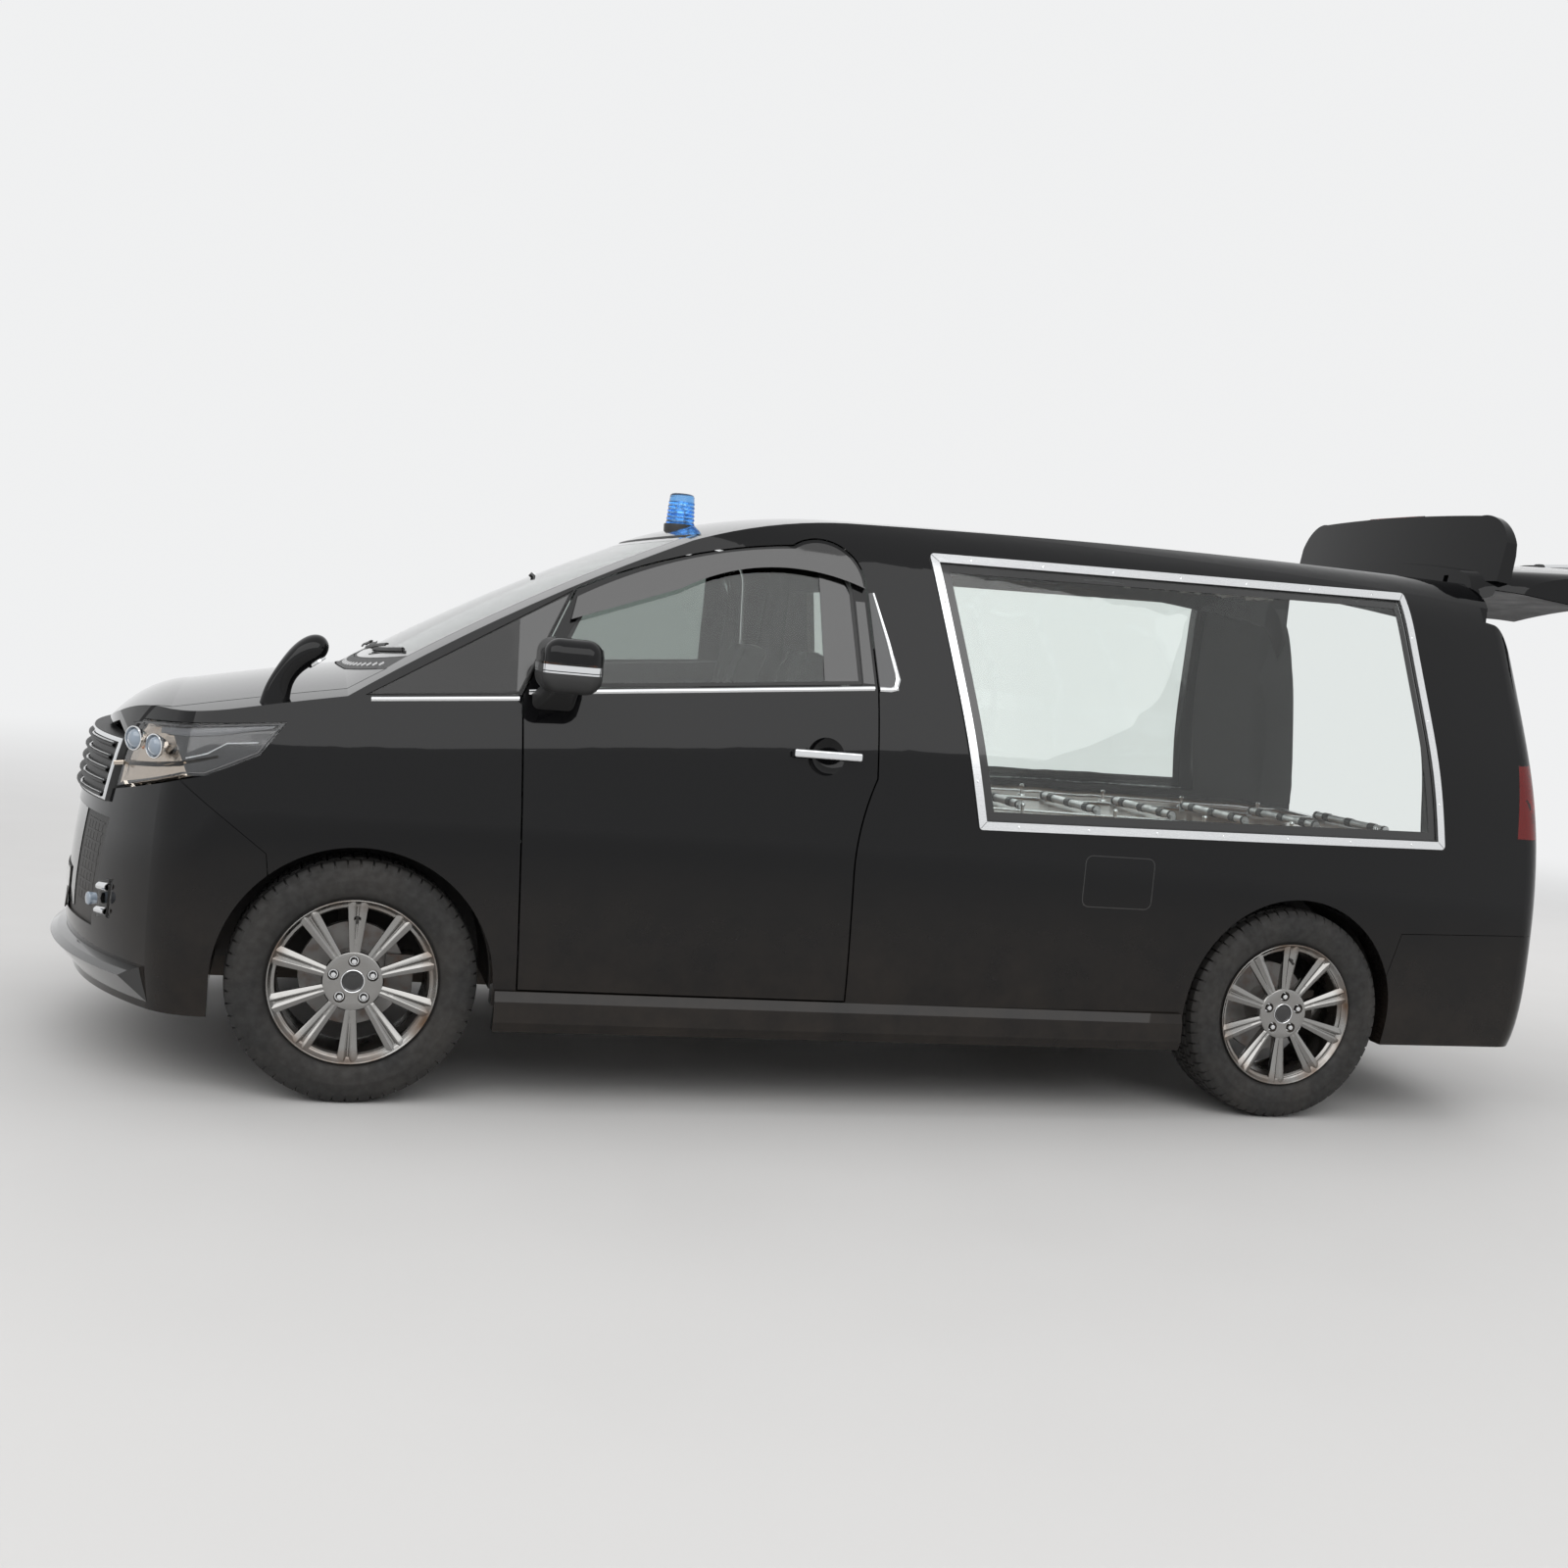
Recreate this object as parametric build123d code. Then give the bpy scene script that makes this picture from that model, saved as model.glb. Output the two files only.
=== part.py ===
"""Hearse on a large one-box minivan body, millimetres, +X forward, +Y left, +Z up, ground at Z 0."""

from build123d import *
import os
from math import cos, radians, sin

# Driving sizes
wheelbase = 3000
track = 1580
axle_z = 351
seat_gap = 0.3
panel_gap = 5

# Body shell
roof_skin = 42
crown_axis_z = -5000
crown_angle = 22
roof_half = 650
belt_z_front = 1197
belt_slope = 0.094
sill_top_z = 330
floor_z = 400
floor_skin = 60

# Doors
door_flange = 12
door_step = 16
door_bottom_z = 352
door_hinge_x = 1085
door_hinge_y = 912
latch_x = 14
striker_z = 1060
striker_reach = 28
latch_gap = 0.4
glass_depth = 4
glass_skin = 5

# Long windows and deck
frame_width = 26
frame_proud = 7
deck_z = 905
deck_skin = 22
lane_half = 256
lane_depth = 3

# Tailgate
gate_hinge_x = -2272
gate_hinge_z = 1838
gate_open_deg = 84
gate_nose = 38
gate_front_x = gate_hinge_x + gate_nose
gate_bottom_z = 655
gate_head_z = 1799
gate_skin = 110
spoiler_tip_x = -2545
gate_pin_y = 403
gate_pin_radius = 8
pin_gap = 0.05

# Hood
hood_skin = 28
hood_gap = 7
hood_lip_z = 975

# Wheels and steering
arch_radius = 388
arch_z = 350
tyre_radius = 351
tyre_half = 111
rim_radius = 236
rim_seat_radius = 216
rim_half = 101
kingpin_y = 715
disc_radius = 140
liner_skin = 8
liner_reach = arch_radius + liner_skin
liner_inner_y = 480
rear_liner_y = 620
liner_outer_y = 812
spoke_pairs = 10
lug_count = 5
lug_circle = 57
hub_radius = 78
hub_back = 48
hub_front = 84
spoke_end = 205
spoke_root_half = 12
spoke_tip_half = 23

# Body envelope, one row a level: height, nose, front corner, half width, wall, rear corner, tail
envelope = [
    dict(z=230, nose=2322, fx=1990, fy=862, half=885, wall=80, rx=-2440, ry=842, tail=-2522),
    dict(z=340, nose=2345, fx=1995, fy=890, half=912, wall=100, rx=-2455, ry=868, tail=-2545),
    dict(z=560, nose=2350, fx=1998, fy=903, half=925, wall=105, rx=-2460, ry=880, tail=-2552),
    dict(z=800, nose=2320, fx=1990, fy=900, half=925, wall=105, rx=-2455, ry=878, tail=-2540),
    dict(z=1000, nose=2282, fx=1965, fy=882, half=916, wall=100, rx=-2440, ry=866, tail=-2516),
    dict(z=1180, nose=2240, fx=1930, fy=822, half=892, wall=70, rx=-2418, ry=838, tail=-2490),
    dict(z=1400, nose=2190, fx=1900, fy=752, half=832, wall=48, rx=-2390, ry=775, tail=-2455),
    dict(z=1600, nose=2150, fx=1870, fy=690, half=768, wall=48, rx=-2362, ry=712, tail=-2420),
    dict(z=1740, nose=2120, fx=1850, fy=640, half=712, wall=48, rx=-2340, ry=660, tail=-2392),
    dict(z=1810, nose=2100, fx=1840, fy=585, half=655, wall=48, rx=-2328, ry=605, tail=-2376),
    dict(z=1850, nose=2090, fx=1830, fy=510, half=575, wall=48, rx=-2320, ry=530, tail=-2366),
    dict(z=1900, nose=2080, fx=1820, fy=380, half=440, wall=48, rx=-2310, ry=400, tail=-2355),
]
front_corner_radius = 200
rear_corner_radius = 90

# Centre line over hood, windscreen and roof: a point ends a line, a pair ends an arc through the first
top_line = [
    (2420, 150),
    (2420, 960),
    (2255, 985),
    ((2165, 1075), (2040, 1118)),
    ((1810, 1166), (1570, 1212)),
    ((1080, 1500), (600, 1732)),
    ((335, 1804), (60, 1834)),
    ((-1100, 1868), (-2260, 1868)),
    (-2700, 1846),
    (-2700, 150),
]
nodes = {}


def face_of(plane, start, moves):
    """Closed face on a plane from a start point and a list of lines and three-point arcs."""
    def place(point):
        return plane.from_local_coords((point[0], point[1]))
    edges = []
    last = start
    for move in list(moves) + [start]:
        if isinstance(move[0], tuple):
            edges.append(Edge.make_three_point_arc(place(last), place(move[0]), place(move[1])))
            last = move[1]
        else:
            edges.append(Edge.make_line(place(last), place(move)))
            last = move
    return Face(Wire(edges))


side_plane = Plane(origin=(0, 0, 0), x_dir=(1, 0, 0), z_dir=(0, -1, 0))
plan_plane = Plane.XY
front_plane = Plane(origin=(0, 0, 0), x_dir=(0, 1, 0), z_dir=(1, 0, 0))


def grown(face, by):
    return offset(face, amount=by, kind=Kind.ARC) if by else face


def side_prism(points, y_low, y_high, by=0):
    """Side-view outline, x and z, standing between two values of y."""
    face = grown(face_of(side_plane, points[0], points[1:]), by)
    return extrude(Pos(0, y_low, 0) * face, y_high - y_low, dir=(0, 1, 0))


def plan_prism(points, z_low, z_high, by=0):
    """Plan outline, x and y, standing between two values of z."""
    face = grown(face_of(plan_plane, points[0], points[1:]), by)
    return extrude(Pos(0, 0, z_low) * face, z_high - z_low, dir=(0, 0, 1))


def front_prism(points, x_low, x_high, by=0):
    """Front-view outline, y and z, standing between two values of x."""
    face = grown(face_of(front_plane, points[0], points[1:]), by)
    return extrude(Pos(x_low, 0, 0) * face, x_high - x_low, dir=(1, 0, 0))


def block(x_low, x_high, y_low, y_high, z_low, z_high):
    size = (x_high - x_low, y_high - y_low, z_high - z_low)
    middle = ((x_high + x_low) / 2, (y_high + y_low) / 2, (z_high + z_low) / 2)
    return Pos(*middle) * Box(*size)


def rod(start, end, radius):
    a, b = Vector(*start), Vector(*end)
    plane = Plane(origin=a, z_dir=(b - a).normalized())
    return extrude(plane * Circle(radius), (b - a).length)


def y_disc(x, z, radius, y_low, y_high):
    plane = Plane(origin=(x, y_low, z), x_dir=(1, 0, 0), z_dir=(0, 1, 0))
    return extrude(plane * Circle(radius), y_high - y_low)


def mirrored(shape):
    return mirror(shape, about=Plane.XZ)


def both(shape):
    return [shape, mirrored(shape)]


def body_slice(row, side_in, end_in, walls):
    """Plan slice of the body at one level: four arcs with rounded corners."""
    z = row["z"]
    nose, tail = row["nose"] - end_in, row["tail"] + end_in
    fx, rx = row["fx"] - end_in, row["rx"] + end_in
    inset = side_in + (row["wall"] if walls else 0)
    fy, ry, half = row["fy"] - inset, row["ry"] - inset, row["half"] - inset
    corners = [(fx, -fy, z), (fx, fy, z), (rx, ry, z), (rx, -ry, z)]
    middles = [(nose, 0, z), (0, half, z), (tail, 0, z), (0, -half, z)]
    ring = [
        Edge.make_three_point_arc(corners[k], middles[k], corners[(k + 1) % 4]) for k in range(4)
    ]
    face = Face(Wire(ring))
    face = fillet(face.vertices().sort_by(Axis.X)[-2:], front_corner_radius)
    return fillet(face.vertices().sort_by(Axis.X)[:2], rear_corner_radius)


def crowned(points, drop=0, angle=crown_angle):
    """Side-view outline turned about an axis far below the car, which gives hood and roof their crown."""
    face = face_of(side_plane, points[0], points[1:])
    axis = Axis((0, 0, crown_axis_z), (1, 0, 0))
    solid = revolve(face.rotate(axis, -angle / 2), axis, angle)
    return Pos(0, 0, -drop) * solid


def hull(side_in=0, end_in=0, drop=0, walls=False):
    """Whole body form, its sides, ends and top each moved inwards."""
    slices = [body_slice(row, side_in, end_in, walls) for row in envelope]
    return loft(slices) & crowned(top_line, drop)


def hull_shell(near, far):
    """Thin skin between two depths below the body surface; a negative depth stands proud."""
    return hull(near, near, near) - hull(far, far, far)


def one(shape):
    """The largest solid of a shape, as cuts can leave crumbs behind."""
    return shape.solids().sort_by(SortBy.VOLUME)[-1]


outer = hull()
inner = hull(0, gate_skin, roof_skin, walls=True)
cabin = hull(seat_gap, gate_skin + seat_gap, roof_skin + seat_gap, walls=True)
shell = outer - inner
flange_hull = hull(door_flange, gate_skin, roof_skin)
glass_shell = hull_shell(glass_depth, glass_depth + glass_skin)


def belt_z(x):
    return belt_z_front + belt_slope * (door_hinge_x - x)


# Side-view outlines, x and z
quarter_tip = (1524, 1160)
quarter_top = (950, 1510)
door_line = [
    (1040, door_bottom_z),
    (door_hinge_x, belt_z_front),
    (943, 1513),
    ((640, 1636), (290, 1708)),
    ((110, 1700), (62, 1607)),
    (22, belt_z(22)),
    (latch_x, 1035),
    ((52, 900), (64, 748)),
    (50, door_bottom_z),
]
door_window = [
    (1036, belt_z(1036) + 18),
    (925, 1462),
    ((640, 1585), (290, 1664)),
    ((140, 1655), (104, 1590)),
    (72, belt_z(72) + 18),
]
quarter_line = [quarter_tip, (door_hinge_x + 8, belt_z_front), (quarter_top[0] + 4, quarter_top[1])]
long_window = [(-340, 916), (-165, 1722), (-1895, 1770), (-2014, 946)]
headlamp_line = [(2300, 1022), (2149, 1026), (1727, 1069), (1793, 974), (1931, 908), (1990, 903), (2300, 790)]
bumper_seam = [(1996, 890), (1757, 706)]


def arch(x, radius=arch_radius, y_low=480, y_high=1000):
    upper = y_disc(x, arch_z, radius, y_low, y_high)
    return upper + block(x - radius, x + radius, y_low, y_high, 100, arch_z)


front_axle_x = wheelbase / 2
rear_axle_x = -wheelbase / 2
liner_zone = arch(front_axle_x, liner_reach + seat_gap, liner_inner_y - seat_gap, liner_outer_y + seat_gap)
liner_zone += arch(rear_axle_x, liner_reach + seat_gap, rear_liner_y - seat_gap, liner_outer_y + seat_gap)
arches = arch(front_axle_x) + arch(rear_axle_x) + liner_zone

# Plan outlines, x and y
screen_plan = [(1410, -708), ((1532, 0), (1410, 708)), (566, 592), ((655, 0), (566, -592))]
hood_plan = [
    (1470, -738), ((1592, 0), (1470, 738)), (2035, 712), (2150, 600), ((2254, 0), (2150, -600)),
    (2035, -712),
]
cowl_plan = [(1411, -705), ((1533, 0), (1411, 705)), (1464, 732), ((1586, 0), (1464, -732))]
gate_view = [(-700, gate_bottom_z), (-742, 900), (-700, 1500), (-640, 1990), (640, 1990), (700, 1500),
             (742, 900), (700, gate_bottom_z)]

# Roof
roof_zone = block(gate_hinge_x + 10, 700, -roof_half, roof_half, 1500, 1950)
gate_turn = y_disc(gate_hinge_x, gate_hinge_z, gate_nose + panel_gap, -1000, 1000)
screen_cut = plan_prism(screen_plan, 1000, 1900)
roof = one((shell & roof_zone) - screen_cut - block(560, 800, -700, 700, 1500, 1950)
           + ((shell & block(540, 700, -592, 592, 1500, 1950)) - screen_cut))
roof -= block(-2700, gate_hinge_x + 100, -605, 605, 1500, gate_head_z)
roof = one(roof - gate_turn)
for y in (-gate_pin_y, gate_pin_y):
    roof += block(gate_hinge_x, gate_hinge_x + 60, y - 7, y + 7, gate_hinge_z - 12, gate_hinge_z + 12)
    roof += y_disc(gate_hinge_x, gate_hinge_z, 12, y - 7, y + 7)
    roof += y_disc(gate_hinge_x, gate_hinge_z, gate_pin_radius, y - 21, y + 21)
nodes["roof_panel"] = one(roof)

# Side panels: pillar, cant rail, rear quarter and sill in one
gate_cut = front_prism(gate_view, -2700, gate_front_x + panel_gap, panel_gap)
side_zone = side_prism(
    [(-2700, 250), (1130, 250), (1130, belt_z_front), quarter_tip, (1448, 1400), (1448, 1990),
     (-2700, 1990)], 300, 1000)
side = shell & side_zone
side -= block(gate_front_x - 400, 568, 0, roof_half + seat_gap, 1500, 1990)
side -= screen_cut
side -= plan_prism(cowl_plan, 1000, 1900, seat_gap)
side -= plan_prism(hood_plan, 900, 1500, hood_gap)
side -= gate_cut
side -= side_prism(door_line, 300, 1000, panel_gap)
side -= side_prism(quarter_line, 300, 1000)
side -= side_prism(long_window, 300, 1000)
side -= arches
side -= block(door_hinge_x - 2 * panel_gap, 1200, 0, 1000, 200, belt_z_front - 1)
striker = block(latch_x - 90, latch_x + striker_reach, 838, 864, striker_z, striker_z + 12)
side = one(side) + striker
rear_bumper_line = [(-2700, 200), (-1780, 200), (-1900, 640), (-2330, 650), (-2700, 650)]
tail_view = [(752, 985), (746, 1235), (920, 1235), (940, 985)]
tail_zone = front_prism(tail_view, -2700, -2330)
lamp_depth = 55
lamp_core = hull(lamp_depth, lamp_depth, lamp_depth)
side -= front_prism(tail_view, -2700, -2330, seat_gap) - hull(
    lamp_depth + seat_gap, lamp_depth + seat_gap, lamp_depth)
side_left = one(side - side_prism(rear_bumper_line, 300, 1000, 2))
nodes["tail_lamps"] = Compound(both(one((outer - lamp_core) & tail_zone)))
nodes["side_panel_left"] = side_left
nodes["side_panel_right"] = mirrored(side_left)

# Fenders
fender_zone = side_prism(
    [(door_hinge_x + panel_gap - 45, 300), (door_hinge_x + panel_gap, belt_z_front), quarter_tip, (1448, 1400),
     (2150, 1300), (2149, 1030), (1727, 1069), (1793, 974), (1931, 908), (1996, 890), (1757, 706), (1700, 300)],
    300, 1000)
fender_inner = hull(60, 60, 45)
fender = (outer - fender_inner) & fender_zone
fender -= side_prism(headlamp_line, 300, 1000, seat_gap)
fender -= plan_prism(hood_plan, 900, 1500, hood_gap)
fender -= screen_cut
fender -= block(1300, 1500, 0, 742, 1000, 1900) & plan_prism(
    [(1300, -760), (1410, -712), (1470, -742), (1592, 0), (1470, 742), (1410, 712), (1300, 760)], 1000, 1900)
fender -= side_prism(quarter_line, 300, 1000)
fender -= side_left
fender -= arches
fender = one(fender - block(900, 2400, 0, 560, 0, 1900))
nodes["fender_left"] = fender
nodes["fender_right"] = mirrored(fender)

# Hood, cowl and windscreen
hood = (outer - (Pos(0, 0, -hood_skin) * outer)) & plan_prism(hood_plan, hood_lip_z, 1400)
nodes["hood"] = one(hood)
cowl = (outer - (Pos(0, 0, -30) * outer)) & plan_prism(cowl_plan, 1000, 1500)
nodes["cowl_panel"] = one(cowl)
screen = glass_shell & plan_prism(screen_plan, 1000, 1900, -seat_gap)
nodes["windscreen"] = one(screen & block(540, 1560, -720, 720, 1100, 1900))

# Side glass
quarter = one(glass_shell & side_prism(quarter_line, 300, 1000, -seat_gap))
nodes["quarter_glasses"] = Compound(both(quarter))
pane = one(glass_shell & side_prism(long_window, 300, 1000, -seat_gap))
nodes["long_windows"] = Compound(both(pane))
frame = hull_shell(-frame_proud, -seat_gap) & (
    side_prism(long_window, 300, 1000, frame_width / 2) - side_prism(long_window, 300, 1000, -frame_width / 2))
frame = one(frame)
nodes["window_frames"] = Compound(both(frame))

# Doors
door = shell & side_prism(door_line, 660, 1000)
rebate = side_prism(door_line, 300, 1000, 1) - side_prism(door_line, 300, 1000, -door_step)
door -= rebate & flange_hull
door -= side_prism(door_window, 300, 1000)
door -= block(latch_x - 50, latch_x + striker_reach + 7, 600, 868, striker_z - latch_gap,
              striker_z + 12 + latch_gap)
handle_x, handle_z, handle_length = 179, 1096, 212
door -= Pos(handle_x, 951, handle_z) * Sphere(74)
door = one(door)
door_glass = one(glass_shell & side_prism(door_window, 600, 1000, -seat_gap))

# Door fittings
deflector_line = [(960, 1425), (945, 1492), ((640, 1628), (290, 1700)), ((120, 1690), (76, 1607)), (66, 1600),
                  ((290, 1640), (640, 1545))]
deflector_zone = side_prism(deflector_line, 300, 1000)
deflector_edge = deflector_zone - side_prism(deflector_line, 300, 1000, -9)
deflector_edge -= block(-200, 1200, 300, 1000, 1300, 1660) & side_prism(door_window, 300, 1000, 12)
deflector = one(hull_shell(-22, -18) & deflector_zone)
deflector = one(deflector + (hull_shell(-21, -seat_gap) & deflector_edge))
handle_y = 930
handle = Pos(handle_x, handle_y, handle_z) * Box(handle_length, 14, 25)
handle = fillet(handle.edges(), 6)
for x in (handle_x - 90, handle_x + 90):
    handle += block(x - 12, x + 12, 880, handle_y, handle_z - 10, handle_z + 10)
handle = one(handle - hull(-seat_gap, 0, 0))

mirror_x, mirror_y, mirror_z = 990, 1035, 1297
mirror_shell = Pos(mirror_x, mirror_y, mirror_z) * Box(165, 225, 150)
mirror_shell = fillet(mirror_shell.edges(), 45)
arm = loft([
    Plane(origin=(1000, 862, 1185), x_dir=(1, 0, 0), z_dir=(0, 1, 0)) * RectangleRounded(120, 60, 20),
    Plane(origin=(990, 975, 1240), x_dir=(1, 0, 0), z_dir=(0, 1, 0)) * RectangleRounded(90, 44, 16),
])
mirror_body = one((mirror_shell + arm) - hull(-seat_gap, 0, -seat_gap))

for name, flip in (("left", False), ("right", True)):
    pieces = {
        "door_" + name: door,
        "door_glass_" + name: door_glass,
        "wind_deflector_" + name: deflector,
        "mirror_" + name: mirror_body,
        "door_handle_" + name: handle,
    }
    for node, shape in pieces.items():
        nodes[node] = mirrored(shape) if flip else shape

# Tailgate, modelled closed and then swung open
gate_zone = front_prism(gate_view, -2700, gate_hinge_x)
gate_zone += y_disc(gate_hinge_x, gate_hinge_z, gate_nose, -1000, 1000) & front_prism(
    gate_view, gate_hinge_x - 50, gate_front_x + 1)
gate = one(shell & gate_zone)
spoiler_end = spoiler_tip_x - 20
spoiler_side = [(-2300, 1846), (spoiler_end, 1834), (spoiler_end, 1816), (-2400, 1790), (-2300, 1790)]
spoiler = crowned(spoiler_side, 0, 11)
spoiler_plan = [(-2295, -635), (-2440, -635), ((-2512, -585), (-2538, -480)), ((spoiler_tip_x, 0), (-2538, 480)),
                ((-2512, 585), (-2440, 635)), (-2295, 635)]
spoiler &= plan_prism(spoiler_plan, 1500, 1990)
gate = one(gate + spoiler)
gate_window = [(-600, 1170), (-560, 1660), (560, 1660), (600, 1170)]
gate -= front_prism(gate_window, -2700, -2000)
for y in (-gate_pin_y, gate_pin_y):
    gate -= y_disc(gate_hinge_x, gate_hinge_z, gate_nose + 8, y - 12, y + 12)
    gate -= y_disc(gate_hinge_x, gate_hinge_z, gate_pin_radius + pin_gap, y - 22, y + 22)
gate = one(gate)
gate_glass = one(glass_shell & front_prism(gate_window, -2700, -2250, -seat_gap))


def opened(shape):
    axis = Axis((gate_hinge_x, 0, gate_hinge_z), (0, 1, 0))
    return shape.rotate(axis, gate_open_deg)


nodes["tailgate"] = opened(gate)
nodes["tailgate_glass"] = opened(gate_glass)

# Front end
grille_view = [(-575, 783), (-598, 969), (598, 969), (575, 783)]
bumper_zone = side_prism(
    [(2500, 235), (1700, 235), (1700, 660), (1757, 706), (1996, 890), (2300, 782), (2500, 782)], -1000, 1000)
bumper = (outer - hull(70, 90, 60)) & bumper_zone
bumper -= arches
bumper -= mirrored(arches)
bumper -= front_prism(grille_view, 2000, 2500, seat_gap)
bumper -= side_prism(headlamp_line, -1000, 1000, seat_gap)
intake = [(-560, 420), (-600, 740), (600, 740), (560, 420)]
bumper -= front_prism(intake, 2000, 2500)
fog_cut = front_prism([(608, 455), (608, 560), (668, 575), (668, 462)], 2000, 2500)
bumper -= fog_cut
bumper -= mirrored(fog_cut)
side_seam = [(1700, 200), (1757, 706), (1996, 890), (2100, 950), (1500, 1200), (1500, 200)]
bumper -= side_prism(side_seam, -1000, 1000, 1.5)
nodes["front_bumper"] = one(bumper)
lower_grille = hull_shell(8, 40) & front_prism(intake, 2000, 2500, -seat_gap)
nodes["lower_grille"] = one(lower_grille)
grille = hull_shell(-10, 50) & front_prism(grille_view, 2100, 2500)
for k in range(5):
    z = 802 + 36 * k
    grille -= front_prism([(-560, z), (-560, z + 14), (560, z + 14), (560, z)], 2298 - 6 * k, 2500)
nodes["grille"] = one(grille)
headlamp = (outer - hull(70, 90, 40)) & side_prism(headlamp_line, 300, 1000)
headlamp -= front_prism([(-605, 700), (-605, 1100), (605, 1100), (605, 700)], 2000, 2500)
headlamp -= plan_prism(hood_plan, 900, 1500, hood_gap)
nodes["headlamps"] = Compound(both(one(headlamp)))

# Rear bumper
rear_zone = side_prism(rear_bumper_line, -1000, 1000)
rear_bumper = (outer - hull(78, 105, 0)) & rear_zone
rear_bumper &= block(-2700, -1700, -1000, 1000, 255, gate_bottom_z - panel_gap)
rear_bumper -= arches
rear_bumper -= mirrored(arches)
nodes["rear_bumper"] = one(rear_bumper)

# Floor, firewall, deck and partition
floor_rise = 160
toe_x = 1060
firewall_x = 1480
floor_line = [(toe_x, floor_z), (-1080, floor_z), (-1180, floor_z + floor_rise), (-2400, floor_z + floor_rise),
              (-2400, floor_z + floor_rise - floor_skin), (-1205, floor_z + floor_rise - floor_skin),
              (-1110, floor_z - floor_skin), (toe_x, floor_z - floor_skin)]
floor = side_prism(floor_line, -1000, 1000) & cabin
floor += block(toe_x - 1, firewall_x, 10 - liner_inner_y, liner_inner_y - 10, floor_z - floor_skin, floor_z)
floor += block(firewall_x - 20, firewall_x, 10 - liner_inner_y, liner_inner_y - 10, floor_z - 1, 1080)
for y_low, y_high in ((10 - liner_inner_y - 310, 10 - liner_inner_y), (liner_inner_y - 10, liner_inner_y + 300)):
    floor += block(toe_x - 20, toe_x, y_low, y_high, floor_z - 1, 760)
for sign in (1, -1):
    low, high = sorted((sign * (rear_liner_y - seat_gap), sign * 1000))
    floor -= arch(rear_axle_x, liner_reach + seat_gap, low, high)
nodes["floor_pan"] = one(floor)

housings = []
for x, y_low, slot in ((front_axle_x, liner_inner_y, 80), (rear_axle_x, rear_liner_y, 75)):
    liner = arch(x, liner_reach, y_low, liner_outer_y) - arch(x, arch_radius, y_low + liner_skin, 1000)
    liner -= block(x - slot, x + slot, 400, y_low + 2 * liner_skin, 0, axle_z + 75)
    housings += both(one(liner - block(-3000, 3000, 0, 1000, 0, sill_top_z)))
nodes["wheel_housings"] = Compound(housings)

deck_front_x = -70
deck_rear_x = -2325
deck = cabin & block(deck_rear_x, deck_front_x, -1000, 1000, deck_z - deck_skin, deck_z)
deck += cabin & block(deck_rear_x, deck_rear_x + 20, -1000, 1000, floor_z + floor_rise + seat_gap, deck_z - 1)
deck -= block(deck_rear_x - 1, deck_front_x + 1, -lane_half, lane_half, deck_z - lane_depth, deck_z + 1)
nodes["casket_deck"] = one(deck)
roller_radius = 14
roller_pitch = 300
roller_count = 7
rollers = []
for k in range(roller_count):
    x = deck_rear_x + 60 + roller_pitch * k
    barrel = y_disc(x, deck_z + roller_radius + 6, roller_radius, -230, 230)
    feet = [block(x - 9, x + 9, y - 6, y + 6, deck_z - lane_depth, deck_z + roller_radius + 6)
            for y in (-236, 236)]
    rollers.append(barrel + feet[0] + feet[1])
nodes["deck_rollers"] = Compound(rollers)

partition_x = -60
partition = cabin & block(partition_x, partition_x + 30, -1000, 1000, floor_z + seat_gap, 1900)
hatch = [(-420, 1230), (-400, 1600), (400, 1600), (420, 1230)]
partition -= front_prism(hatch, partition_x - 50, partition_x + 90)
nodes["partition"] = one(partition)

# Cabin
dash_line = [(firewall_x - 20.3, 720), (firewall_x - 20.3, 1120), ((1300, 1180), (1130, 1150)),
             ((1070, 1110), (1060, 1040)), (1085, 850), (1200, 720)]
dashboard = cabin & side_prism(dash_line, -1000, 1000)
dashboard -= arch(front_axle_x, liner_reach + seat_gap, liner_inner_y - seat_gap, 1000)
dashboard -= arch(front_axle_x, liner_reach + seat_gap, -1000, seat_gap - liner_inner_y)
wheel_seat_y = -390
column_angle = 24
rim_centre = (925, wheel_seat_y, 1045)
column_dir = (cos(radians(column_angle)), 0, -sin(radians(column_angle)))
steering_plane = Plane(origin=rim_centre, x_dir=(0, 1, 0), z_dir=column_dir)


def along_column(reach):
    return tuple(c + reach * d for c, d in zip(rim_centre, column_dir))


dashboard += rod(along_column(60), along_column(210), 32)
nodes["dashboard"] = one(dashboard)
wheel_rim = steering_plane * Torus(182, 14)
hub_boss = extrude(steering_plane * Circle(62), 40) + rod(along_column(39), along_column(60 - seat_gap), 24)
steering = wheel_rim + hub_boss
for turn in (0, 180, 270):
    spoke = steering_plane * (Rot(0, 0, turn) * (Pos(115, 0, 10) * Box(140, 34, 14)))
    steering += spoke
nodes["steering_wheel"] = one(steering)

seat_y = 395
seat_half = 255
back_lean = 18


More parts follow.
